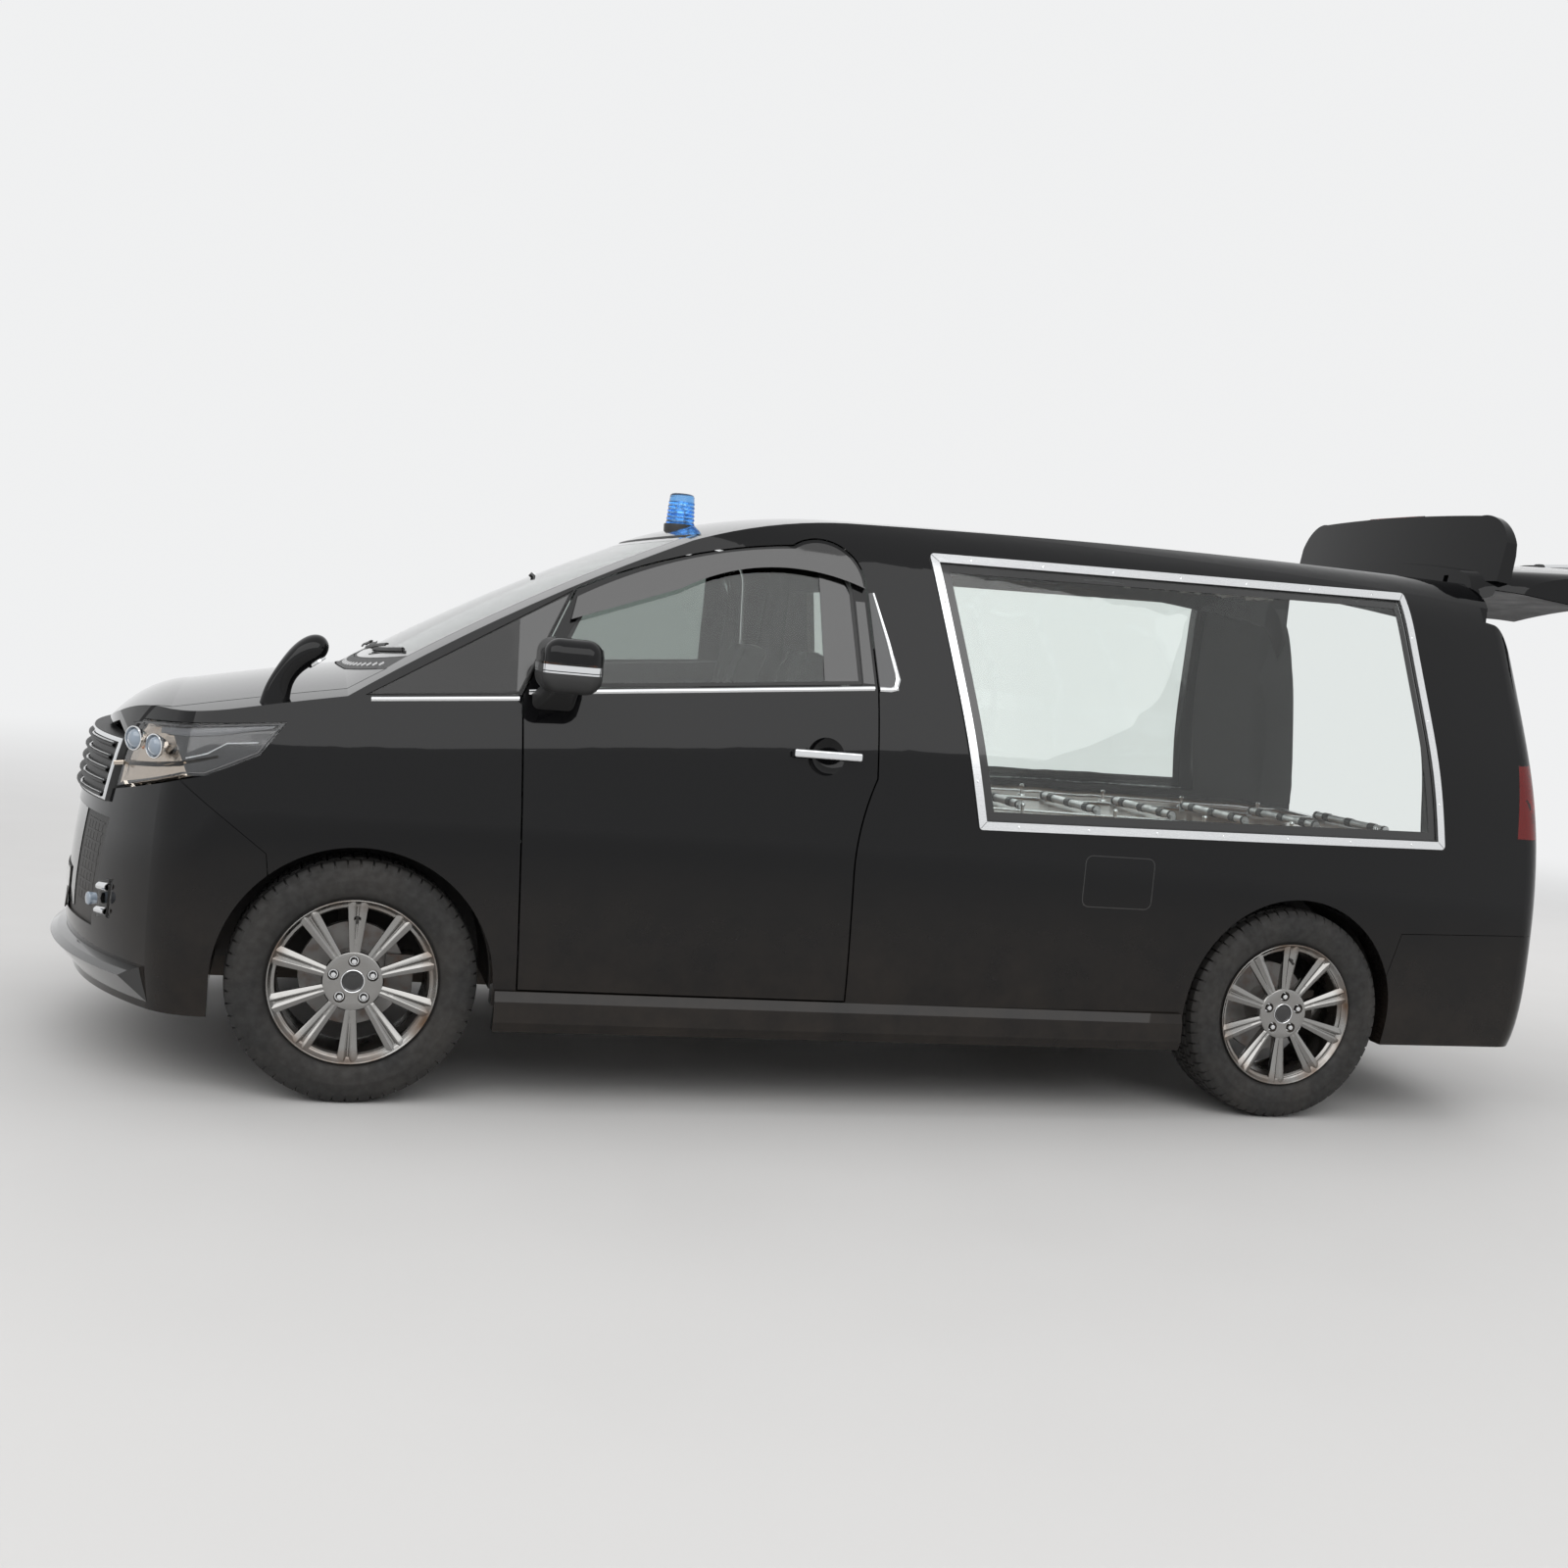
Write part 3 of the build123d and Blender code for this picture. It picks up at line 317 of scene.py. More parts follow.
blueLens = makeGlass("blueLens", (0.16, 0.42, 0.82), 0.12)
glossBlack = makePlastic("glossBlackPlastic", (0.006, 0.006, 0.006), 0.08, 0.2, coat=0.8)
matteBlack = makePlastic("mattBlackPlastic", (0.02, 0.02, 0.02), 0.5, 0.75, grain=0.4, dust=0.25)
chassisBlack = makePlastic("underbodyBlack", (0.02, 0.019, 0.018), 0.55, 0.8, grain=0.2, grainScale=200, dust=0.6)
innerPlastic = makePlastic("cabinPlastic", (0.03, 0.03, 0.032), 0.5, 0.7, grain=0.5, grainScale=1100)
# Near black: the partition's own black plastic, darkened further as painted shade for the dim inside of the closed
# cabin
shadedPartitionPlastic = makePlastic("partitionPlasticPaintedShade", (0.008, 0.008, 0.009), 0.6, 0.8, grain=0.4, grainScale=900)
lightTrim = makePlastic("headlining", (0.32, 0.31, 0.29), 0.8, 0.95, grain=0.4, grainScale=1500)
rubber = makeRubber()
rimMetal = makeRimMetal()
castIron = makeIron("castIron", (0.2, 0.19, 0.18), 0.5)
discMetal = makeIron("brakeDisc", (0.33, 0.32, 0.31), 0.35)
dullSteel = makeIron("exhaustSteel", (0.42, 0.4, 0.37), 0.45)
rollerSteel = makeIron("rollerSteel", (0.7, 0.7, 0.71), 0.02)
cloth = makeCloth()
deckWood = makeWood()
lampChrome = makeChrome("lampReflector", (0.46, 0.4, 0.34))
grilleChrome = makeChrome("grilleChrome", (0.4, 0.405, 0.41))
lampSatin = makePlastic("lampSatinBrow", (0.13, 0.135, 0.145), 0.2, 0.3, coat=0.3)
smokedTrim = makePlastic("lampDarkTrim", (0.025, 0.026, 0.028), 0.12, 0.22, coat=0.5)
projectorGlass = makePlastic("projectorGlass", (0.25, 0.3, 0.36), 0.02, 0.06, coat=1.0)
whiteLens = makePlastic("lightGuideWhite", (0.8, 0.82, 0.84), 0.15, 0.3, coat=0.4)
seamThread = makePlastic("seamThread", (0.012, 0.012, 0.013), 0.7, 0.9)
plateWhite = makePlastic("blankPlateWhite", (0.78, 0.78, 0.76), 0.25, 0.4)
plateYellow = makePlastic("blankPlateYellow", (0.8, 0.55, 0.04), 0.25, 0.4)
bayCloth = makePlastic("bayFelt", (0.035, 0.035, 0.037), 0.85, 0.95, grain=0.3, grainScale=700)
print("materials made")

finishes = {
    paint: ["roof_panel", "side_panel_left", "side_panel_right", "fender_left", "fender_right", "hood", "door_left",
            "door_right", "mirror_left", "mirror_right", "tailgate", "front_bumper", "rear_bumper", "side_skirts",
            "fender_mirror"],
    chrome: ["door_handle_left", "door_handle_right"],
    polished: ["window_frames"],
    clearGlass: ["long_windows"],
    screenGlass: ["windscreen"],
    cabinGlass: ["door_glass_left", "door_glass_right"],
    quarterTint: ["quarter_glasses"],
    darkGlass: ["tailgate_glass"],
    smoked: ["wind_deflector_left", "wind_deflector_right"],
    lampGlass: ["headlamps", "fog_lamps"],
    redLens: ["tail_lamps"],
    blueLens: ["beacon"],
    glossBlack: ["front_lip"],
    matteBlack: ["cowl_panel", "wheel_housings", "fuel_tank", "grille", "lower_grille"],
    chassisBlack: ["floor_pan", "front_subframe", "rear_axle"],
    innerPlastic: ["dashboard", "steering_wheel"],
    shadedPartitionPlastic: ["partition"],
    castIron: ["engine_block", "knuckle_left", "knuckle_right"],
    dullSteel: ["exhaust"],
    rollerSteel: ["deck_rollers"],
    cloth: ["seat_left", "seat_right"],
    deckWood: ["casket_deck"],
    rimMetal: ["rim_front_left", "rim_front_right", "rim_rear_left", "rim_rear_right"],
    rubber: ["tyre_front_left", "tyre_front_right", "tyre_rear_left", "tyre_rear_right"],
}
for finish, members in finishes.items():
    for member in members:
        mesh = nodes[member].data
        if not mesh.materials:
            mesh.materials.append(finish)
        for k in range(len(mesh.materials)):
            mesh.materials[k] = finish
print("frame finished")

# Floor, sky and lamps
studio = {"floorSize": 60, "pale": (0.62, 0.61, 0.6), "backdrop": (0.87, 0.875, 0.88), "fade": (4, 13), "skyTop": 0.6,
          "skyLow": 0.28, "skyRise": 0.55}


# Rays that meet the eye straight, off metal or through glass
def seenRays(tree, path):
    seen = mathNode(tree, "MAXIMUM", path.outputs["Is Camera Ray"], path.outputs["Is Glossy Ray"])
    return mathNode(tree, "MAXIMUM", seen, path.outputs["Is Transmission Ray"])


def makeFloor():
    bpy.ops.mesh.primitive_plane_add(size=studio["floorSize"], location=(0, 0, 0))
    floor = bpy.context.object
    floor.name = "floor"
    mat, tree, shader, coords = newMaterial("studioFloor", studio["pale"], 0.7)
    feed(tree, shader.inputs["Roughness"], varied(tree, coords, 2, 0.6, 0.8))
    path = tree.nodes.new("ShaderNodeLightPath")
    white = addNode(tree, "Emission", {"Color": (*studio["backdrop"], 1)})
    length = addNode(tree, "VectorMath", {0: coords}, operation="LENGTH").outputs["Value"]
    far = spread(tree, length, *studio["fade"], shape="SMOOTHSTEP")
    blend = addNode(tree, "MixShader", {0: mathNode(tree, "MULTIPLY", far, seenRays(tree, path)), 1: shader.outputs[0],
                                        2: white.outputs[0]})
    feed(tree, tree.nodes["Material Output"].inputs["Surface"], blend.outputs[0])
    floor.data.materials.append(mat)


def makeSky():
    world = bpy.data.worlds.new("studioSky")
    world.use_nodes = True
    tree = world.node_tree
    tree.nodes.clear()
    coords = tree.nodes.new("ShaderNodeTexCoord").outputs["Generated"]
    rise = addNode(tree, "SeparateXYZ", {"Vector": coords}).outputs["Z"]
    glow = spread(tree, rise, 0, studio["skyRise"], studio["skyLow"], studio["skyTop"], "SMOOTHSTEP")
    sky = addNode(tree, "Background", {"Color": (0.97, 0.985, 1, 1), "Strength": glow})
    white = addNode(tree, "Background", {"Color": (*studio["backdrop"], 1)})
    path = tree.nodes.new("ShaderNodeLightPath")
    blend = addNode(tree, "MixShader", {0: seenRays(tree, path), 1: sky.outputs[0], 2: white.outputs[0]})
    addNode(tree, "OutputWorld", {"Surface": blend.outputs[0]})
    scene.world = world


lamps = [
    {"name": "keySoftbox", "place": (2.5, 5.5, 5.2), "aim": (0, 0, 0.8), "size": (17, 5), "power": 430},
    {"name": "farSoftbox", "place": (-3.5, -5.0, 5.0), "aim": (0, 0, 0.8), "size": (17, 5), "power": 330},
    {"name": "topSoftbox", "place": (0, 0, 6.5), "aim": (0, 0, 0), "size": (14, 3), "power": 150},
]


def makeLamps():
    for lamp in lamps:
        spot, aim = Vector(lamp["place"]), Vector(lamp["aim"])
        bpy.ops.object.light_add(type="AREA", location=spot)
        light = bpy.context.object
        light.name = lamp["name"]
        light.data.shape = "RECTANGLE"
        light.data.size, light.data.size_y = lamp["size"]
        light.data.energy = lamp["power"]
        light.visible_glossy = lamp["name"] == "keySoftbox"
        light.rotation_euler = (aim - spot).to_track_quat("-Z", "Y").to_euler()


makeFloor()
makeSky()
makeLamps()
scene.view_settings.view_transform = "Standard"
print("studio ready")


# Small helpers for the pieces
def deselect():
    bpy.ops.object.select_all(action="DESELECT")


def pick(piece):
    deselect()
    piece.select_set(True)
    bpy.context.view_layer.objects.active = piece


def applyModifiers(piece):
    pick(piece)
    for modifier in list(piece.modifiers):
        bpy.ops.object.modifier_apply(modifier=modifier.name)


def bakePlace():
    bpy.ops.object.transform_apply(location=True, rotation=True, scale=True)


def settle(piece, name, body, *finishes, smooth=32):
    piece.name = name
    pick(piece)
    bakePlace()
    bpy.ops.object.shade_smooth_by_angle(angle=math.radians(smooth))
    for finish in finishes:
        piece.data.materials.append(finish)
    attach(piece, body)
    return piece


def addPiece(data):
    piece = bpy.data.objects.new("piece", data)
    scene.collection.objects.link(piece)
    return piece


def duplicate(piece):
    twin = piece.copy()
    twin.data = piece.data.copy()
    scene.collection.objects.link(twin)
    return twin


def mirrorMesh(mesh):
    for vertex in mesh.vertices:
        vertex.co.y = -vertex.co.y
    mesh.flip_normals()


def mirrorCopy(piece, name, body):
    twin = duplicate(piece)
    twin.name = name
    twin.parent = None
    mirrorMesh(twin.data)
    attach(twin, body)
    return twin


# A left piece and its mirrored right twin, on the body itself or on the two doors
def paired(piece, name, finish, place="root"):
    left, right = ("door_left", "door_right") if place == "doors" else (place, place)
    settle(piece, name + "Left", left, finish)
    return mirrorCopy(piece, name + "Right", right)


def meshPiece(points, faces):
    mesh = bpy.data.meshes.new("piece")
    mesh.from_pydata([tuple(p) for p in points], [], faces)
    return addPiece(mesh)


def evenNormals(piece):
    pick(piece)
    bpy.ops.object.mode_set(mode="EDIT")
    bpy.ops.mesh.select_all(action="SELECT")
    bpy.ops.mesh.normals_make_consistent(inside=False)
    bpy.ops.object.mode_set(mode="OBJECT")


def thicken(piece, depth):
    thick = piece.modifiers.new("thick", "SOLIDIFY")
    thick.thickness = depth
    thick.offset = -1
    applyModifiers(piece)


# Closed form through rings of as many points each
def tube(points, count):
    rings = len(points) // count
    faces = []
    for k in range(rings - 1):
        for s in range(count):
            a, b = k * count + s, k * count + (s + 1) % count
            faces.append((a, b, b + count, a + count))
    faces.append(tuple(reversed(range(count))))
    faces.append(tuple((rings - 1) * count + s for s in range(count)))
    piece = meshPiece(points, faces)
    evenNormals(piece)
    return piece


def joined(pieces):
    deselect()
    for piece in pieces:
        piece.select_set(True)
    bpy.context.view_layer.objects.active = pieces[0]
    bpy.ops.object.join()
    return bpy.context.object


def arcPoints(start, through, end, count=8):
    (x1, z1), (x2, z2), (x3, z3) = start, through, end
    d = 2 * (x1 * (z2 - z3) + x2 * (z3 - z1) + x3 * (z1 - z2))
    s1, s2, s3 = x1 * x1 + z1 * z1, x2 * x2 + z2 * z2, x3 * x3 + z3 * z3
    cx = (s1 * (z2 - z3) + s2 * (z3 - z1) + s3 * (z1 - z2)) / d
    cz = (s1 * (x3 - x2) + s2 * (x1 - x3) + s3 * (x2 - x1)) / d
    radius = math.hypot(x1 - cx, z1 - cz)
    first, middle, last = (math.atan2(z - cz, x - cx) for x, z in (start, through, end))
    turn = (last - first) % math.tau
    if (middle - first) % math.tau > turn:
        turn -= math.tau
    return [(cx + radius * math.cos(first + turn * k / count), cz + radius * math.sin(first + turn * k / count))
            for k in range(count + 1)]


# Outline moved sideways: plus is outwards for a loop that runs anticlockwise
def offsetLoop(points, distance, closed=True):
    moved = []
    count = len(points)
    for k in range(count):
        before, here, after = points[k - 1], points[k], points[(k + 1) % count]
        if not closed and k == 0:
            before = (2 * here[0] - after[0], 2 * here[1] - after[1])
        if not closed and k == count - 1:
            after = (2 * here[0] - before[0], 2 * here[1] - before[1])
        a = Vector((here[0] - before[0], here[1] - before[1])).normalized()
        b = Vector((after[0] - here[0], after[1] - here[1])).normalized()
        na, nb = Vector((a.y, -a.x)), Vector((b.y, -b.x))
        middle = (na + nb) / max(0.3, 1 + na.dot(nb))
        moved.append((here[0] + middle.x * distance, here[1] + middle.y * distance))
    return moved


def ringOf(loop, first, second):
    return offsetLoop(loop, first), offsetLoop(loop, second)


def rightWay(points):
    area = sum(points[k - 1][0] * p[1] - p[0] * points[k - 1][1] for k, p in enumerate(points))
    return points if area > 0 else points[::-1]


def meshTree(piece):
    return BVHTree.FromPolygons([v.co for v in piece.data.vertices], [tuple(p.vertices) for p in piece.data.polygons])


# Where the rays of each view start, outside the car
castFrom = {"side": 1.6, "front": 2.7, "back": -3.2, "top": 2.4}
castAlong = {"side": (0, 1, 0), "front": (1, 0, 0), "back": (-1, 0, 0), "top": (0, 0, 1)}


# Sheet between two outlines, laid on a CAD surface. Points are millimetres from the wheelbase's middle:
# (x, z) seen from the side, (y, z) from the front or back, (x, y) from above
def skinSheet(target, first, second, view="side", closed=False, step=30, rows=2, lift=0.3, crown=0.0, depth=1.0):
    columns = [[], []]
    count = len(first)
    spans = count if closed else count - 1
    for k in range(spans):
        nxt = (k + 1) % count
        length = max(math.dist(first[k], first[nxt]), math.dist(second[k], second[nxt]))
        cuts = max(1, int(length / step))
        for c in range(cuts):
            for side, line in enumerate((first, second)):
                columns[side].append([line[k][i] + (line[nxt][i] - line[k][i]) * c / cuts for i in (0, 1)])
    if not closed:
        columns[0].append(list(first[-1]))
        columns[1].append(list(second[-1]))
    points, heights = [], []
    for low, high in zip(*columns):
        for r in range(rows + 1):
            t = r / rows
            a, b = (low[i] + (high[i] - low[i]) * t for i in (0, 1))
            a, b, far = a / 1000, b / 1000, castFrom[view]
            points.append(at(a, far, b) if view == "side" else at(a, b, far) if view == "top" else at(far, a, b))
            heights.append((lift + crown * (1 - abs(2 * t - 1) ** 2.5)) / 1000)
    total = len(columns[0])
    faces = []
    for k in range(total if closed else total - 1):
        for r in range(rows):
            a, b = k * (rows + 1) + r, ((k + 1) % total) * (rows + 1) + r
            faces.append((a, b, b + 1, a + 1))
    away = Vector(castAlong[view])
    surface = target if isinstance(target, list) else [target]
    trees = [meshTree(nodes[n]) for n in surface]
    missed = 0
    placed = []
    for spot, height in zip(points, heights):
        hits = [h for h in (tree.ray_cast(spot, -away) for tree in trees) if h[0] is not None]
        if not hits:
            missed += 1
            placed.append(None)
            continue
        hit = min(hits, key=lambda h: h[3])
        normal = hit[1] if hit[1].dot(away) > 0 else -hit[1]
        if normal.dot(away) < 0.3:
            normal = away
        placed.append(hit[0] + normal * height)
    if missed:
        known = [p for p in placed if p]
        axis = max(range(3), key=lambda i: abs(away[i]))
        for k, spot in enumerate(placed):
            if spot is None:
                near = min(known, key=lambda p: sum((p[i] - points[k][i]) ** 2 for i in range(3) if i != axis))
                placed[k] = points[k].copy()
                placed[k][axis] = near[axis]
        print("   sheet on", surface[0], "missed", missed, "of", len(points))
    piece = meshPiece(placed, faces)
    if sum(p.normal.dot(away) for p in piece.data.polygons) < 0:
        piece.data.flip_normals()
    if depth:
        thicken(piece, depth / 1000)
    return piece


def lay(name, body, finish, *shape, **options):
    settle(skinSheet(*shape, **options), name, body, finish)


def layPair(name, finish, *shape, place="root", **options):
    paired(skinSheet(*shape, **options), name, finish, place)


# A copy of part of a CAD surface, lifted off it: keep(centre, normal) chooses the faces, cuts are planes
def coverPiece(node, keep, lift=1.0, cuts=(), depth=0.0):
    work = bmesh.new()
    work.from_mesh(nodes[node].data)
    bmesh.ops.remove_doubles(work, verts=work.verts, dist=1e-5)
    for spot, normal in cuts:
        bmesh.ops.bisect_plane(work, geom=work.verts[:] + work.edges[:] + work.faces[:], plane_co=spot,
                               plane_no=normal)
    shift = Vector((carMiddle, 0, 0))
    gone = [f for f in work.faces if not keep(f.calc_center_median() - shift, f.normal)]
    bmesh.ops.delete(work, geom=gone, context="FACES")
    work.normal_update()
    for v in work.verts:
        v.co += v.normal * lift / 1000
    mesh = bpy.data.meshes.new("cover")
    work.to_mesh(mesh)
    work.free()
    piece = addPiece(mesh)
    if depth:
        thicken(piece, depth / 1000)
    return piece


# Profile of (distance along the axis, radius), spun about an axis
def turned(profile, place, axis, steps=32):
    axis = Vector(axis).normalized()
    side = axis.orthogonal().normalized()
    chain = bmesh.new()
    last = None
    for along, radius in profile:
        vertex = chain.verts.new(axis * along + side * max(radius, 1e-5))
        if last:
            chain.edges.new((last, vertex))
        last = vertex
    mesh = bpy.data.meshes.new("turned")
    chain.to_mesh(mesh)
    chain.free()
    piece = addPiece(mesh)
    pick(piece)
    bpy.ops.object.mode_set(mode="EDIT")
    bpy.ops.mesh.select_all(action="SELECT")
    bpy.ops.mesh.spin(steps=steps, angle=math.tau, center=(0, 0, 0), axis=tuple(axis))
    bpy.ops.mesh.select_all(action="SELECT")
    bpy.ops.mesh.remove_doubles(threshold=0.00002)
    bpy.ops.mesh.normals_make_consistent(inside=False)
    bpy.ops.object.mode_set(mode="OBJECT")
    piece.location = place
    return piece


# Block with rounded edges, turned about its own middle
def roundedBlock(place, size, bevel, turn=(0, 0, 0)):
    deselect()
    bpy.ops.mesh.primitive_cube_add(size=1, location=place, rotation=turn)
    piece = bpy.context.object
    piece.scale = size
    bpy.ops.object.transform_apply(location=False, rotation=False, scale=True)
    bpy.ops.object.mode_set(mode="EDIT")
    bpy.ops.mesh.select_all(action="SELECT")
    bpy.ops.mesh.bevel(offset=bevel, segments=3, affect="EDGES")
    bpy.ops.object.mode_set(mode="OBJECT")
    return piece


# Round bar along a line of points
def bar(points, radius, resolution=6):
    curve = bpy.data.curves.new("bar", "CURVE")
    curve.dimensions = "3D"
    curve.bevel_depth = radius
    curve.bevel_resolution = resolution
    curve.use_fill_caps = True
    spline = curve.splines.new("POLY")
    spline.points.add(len(points) - 1)
    for k, p in enumerate(points):
        spline.points[k].co = (*p, 1)
    pick(addPiece(curve))
    bpy.ops.object.convert(target="MESH")
    return bpy.context.object


# Cut planes for covers
def levelCut(z):
    return Vector((0, 0, z)), Vector((0, 0, 1))


def lengthCut(x):
    return at(x, 0, 0), Vector((1, 0, 0))


def widthCut(y):
    return Vector((0, y, 0)), Vector((0, 1, 0))


# Side trim: belt chrome, window seals, pillar covers, frame screws
belt = {"front": 1197, "slope": 0.094, "hinge": 1085}
doorWindow = ([(1036, belt["front"] + 23), (925, 1462)] + arcPoints((925, 1462), (640, 1585), (290, 1664))[1:]
              + arcPoints((290, 1664), (140, 1655), (104, 1590), 5)[1:])


def beltHeight(x):
    return belt["front"] + belt["slope"] * (belt["hinge"] - x)


doorWindow.append((72, beltHeight(72) + 18))
longWindow = [(-340, 916), (-165, 1722), (-1895, 1770), (-2014, 946)]
quarterWindow = [(1524, 1160), (1093, 1197), (954, 1510)]
trim = {"stripLow": 1, "stripHigh": 15, "stripCrown": 4, "sealWidth": 11, "ceramic": 30, "pillarFront": 190,
        "frameHalf": 13, "screw": 4.5}


def makeBeltStrips():
    xs = [1070 - 52 * k for k in range(20)] + [32]
    low = [(x, beltHeight(x) + trim["stripLow"]) for x in xs]
    high = [(x, beltHeight(x) + trim["stripHigh"]) for x in xs]
    layPair("beltStrip", chrome, "door_left", low, high, rows=6, lift=0.3, crown=trim["stripCrown"], depth=2,
            place="doors")
    (x1, z1), (x2, z2) = quarterWindow[:2]
    line = [(x, z1 + (x1 - x) * (z2 - z1) / (x1 - x2)) for x in (1506, 1440, 1370, 1300, 1230, 1160, 1096)]
    low, high = ([(x, z - down) for x, z in line] for down in (17, 4))
    layPair("quarterStrip", chrome, ["fender_left", "side_panel_left"], low, high, rows=6, lift=0.3,
            crown=trim["stripCrown"], depth=2)
    front = [(14, 1296), (20, 1340), (36, 1460), (52, 1588)]
    rear = [(-40, 1301), (-50, 1335), (-16, 1450), (33, 1590)]
    layPair("sailGarnish", smokedTrim, "side_panel_left", rear, front, rows=8, step=12, lift=0.4, crown=5, depth=2)
    along = [(-26, 1306), (-34, 1338), (-2, 1450), (42, 1588)]
    low, high = [(16, 1295), (-20, 1296), (-44, 1303)], [(17, 1309), (-18, 1311), (-36, 1318)]
    edges = [skinSheet("side_panel_left", rear, along, rows=4, step=12, lift=3.4, crown=4, depth=2),
             skinSheet("side_panel_left", low, high, rows=4, step=12, lift=3.6, crown=4, depth=2)]
    paired(joined(edges), "sailEdge", chrome)


def makeWindowBorders():
    loop = rightWay(doorWindow)
    layPair("doorSeal", matteBlack, "door_glass_left", *ringOf(loop, -0.6, -trim["sealWidth"]),
            closed=True, rows=2, lift=4.2, depth=5, place="doors")
    zs = [beltHeight(100) + 22, 1380, 1440, 1500, 1560, 1640]
    front = [(trim["pillarFront"] + (z - 1300) * 0.06, z) for z in zs]
    rear = [(76 + (z - 1297) * 0.105, min(z, 1585)) for z in zs]
    front[-1], rear[-1] = (212, 1650), (150, 1640)
    layPair("doorPillar", glossBlack, "door_glass_left", front, rear, rows=4, lift=3.6, depth=3.4, place="doors")
    front = [(66 + (z - 1297) * 0.105, z) for z in (1316, 1400, 1480, 1560)]
    rear = [(30 + (z - 1297) * 0.13, z) for z in (1316, 1400, 1480, 1560)]
    layPair("doorPillarEdge", glossBlack, "door_left", front, rear, rows=2, lift=0.5, depth=0.6, place="doors")
    loop = rightWay(longWindow)
    inner = -trim["frameHalf"]
    layPair("longWindowBorder", glossBlack, "long_windows", *ringOf(loop, -2, inner - trim["ceramic"]),
            closed=True, rows=2, lift=0.3, depth=0.4)
    layPair("longWindowSeal", matteBlack, "long_windows", *ringOf(loop, inner + 2, inner - 4),
            closed=True, rows=2, lift=2.5, crown=2, depth=4)
    mitres = []
    outside, inside = offsetLoop(loop, trim["frameHalf"] - 5), offsetLoop(loop, 1 - trim["frameHalf"])
    for a, b in zip(outside, inside):
        across = Vector((b[1] - a[1], a[0] - b[0])).normalized() * 0.7
        low, high = ([(x + side * across.x, z + side * across.y) for x, z in (a, b)] for side in (-1, 1))
        mitres.append(skinSheet("window_frames", low, high, rows=1, lift=0.25, depth=0.3))
    paired(joined(mitres), "frameMitres", matteBlack)
    screws = []
    for k, a in enumerate(loop):
        b = loop[(k + 1) % 4]
        count = 7 if abs(a[0] - b[0]) > 900 else 3
        for s in range(count):
            t = (s + 0.5) / count
            x, z = a[0] + (b[0] - a[0]) * t, a[1] + (b[1] - a[1]) * t
            turns = [math.tau * i / 12 for i in range(12)]
            rim = [(x + trim["screw"] * math.cos(w), z + trim["screw"] * math.sin(w)) for w in turns]
            screws.append(skinSheet("window_frames", rim, [(x, z)] * 12, closed=True, rows=2, step=50, lift=0.2,
                                    crown=0.9, depth=0))
    paired(joined(screws), "frameScrews", chrome)
    layPair("quarterBorder", glossBlack, "quarter_glasses", [(1104, 1200), (1104, 1300), (1104, 1412)], [(1096, 1200),
            (1040, 1322), (962, 1496)], rows=4, step=25, lift=0.3, depth=0.4)
    loop = rightWay(quarterWindow)
    layPair("quarterSeal", matteBlack, "quarter_glasses", *ringOf(loop, -1.5, -9), closed=True,
            rows=2, lift=0.6, crown=1, depth=1)


def makeSideMarks():
    corners = []
    for cx, cz, start in ((-725, 820, 0), (-920, 820, 90), (-920, 705, 180), (-725, 705, 270)):
        corners += [(cx + 25 * math.cos(math.radians(start + a)), cz + 25 * math.sin(math.radians(start + a)))
                    for a in range(0, 91, 15)]
    # The fuel door's outline is a thin matte black sheet on the side panel: painted shade for the gap round the door
    lay("fuelDoorGapShade", "root", matteBlack, "side_panel_left", corners, offsetLoop(corners, -3.2), closed=True, rows=1,
        step=20, lift=0.2, depth=0.2)


makeBeltStrips()
makeWindowBorders()
makeSideMarks()
print("side trim made")

# Wheels: tread in equal pitches round the tyre, forged spokes, hub fittings
tread = {"pitches": 60, "grooveDepth": 7, "shoulderDepth": 3, "wall": 0.009}
wheelSpots = {"FrontLeft": (1, 1, "front_left"), "FrontRight": (1, -1, "front_right"), "RearLeft": (-1, 1, "rear_left"),
              "RearRight": (-1, -1, "rear_right")}
# Half section of the tyre from bead to bead: across, radius, and the row that it belongs to
treadRows = [
    (-86.5, 217, "wall"), (-86.5, 226, "wall"), (-89, 239, "wall"), (-99, 246, "wall"), (-106, 258, "wall"),
    (-109, 275, "wall"), (-110.4, 290, "wall"), (-110.7, 294, "wall"), (-109.6, 297, "wall"), (-108.6, 312, "wall"),
    (-104, 327, "wall"), (-102.5, 329, "shoulder"), (-98, 338, "shoulder"), (-90, 345.6, "shoulder"),
    (-66, 349.4, "shoulder"), (-64, 342.5, "groove"), (-55, 342.8, "groove"), (-53, 350, "blockA"),
    (-27, 350.8, "blockA"), (-25, 343.4, "groove"), (-15, 343.6, "groove"), (-13, 351, "blockB"), (0, 351, "blockB"),
]
treadStations = [0, 0.04, 0.36, 0.4, 0.5, 0.54, 0.86, 0.9]
treadHigh = {"shoulder": (0, 1, 1, 1, 1, 1, 1, 0), "blockA": (1, 1, 1, 0, 0, 1, 1, 1),
             "blockB": (0, 1, 1, 0, 0, 1, 1, 0)}


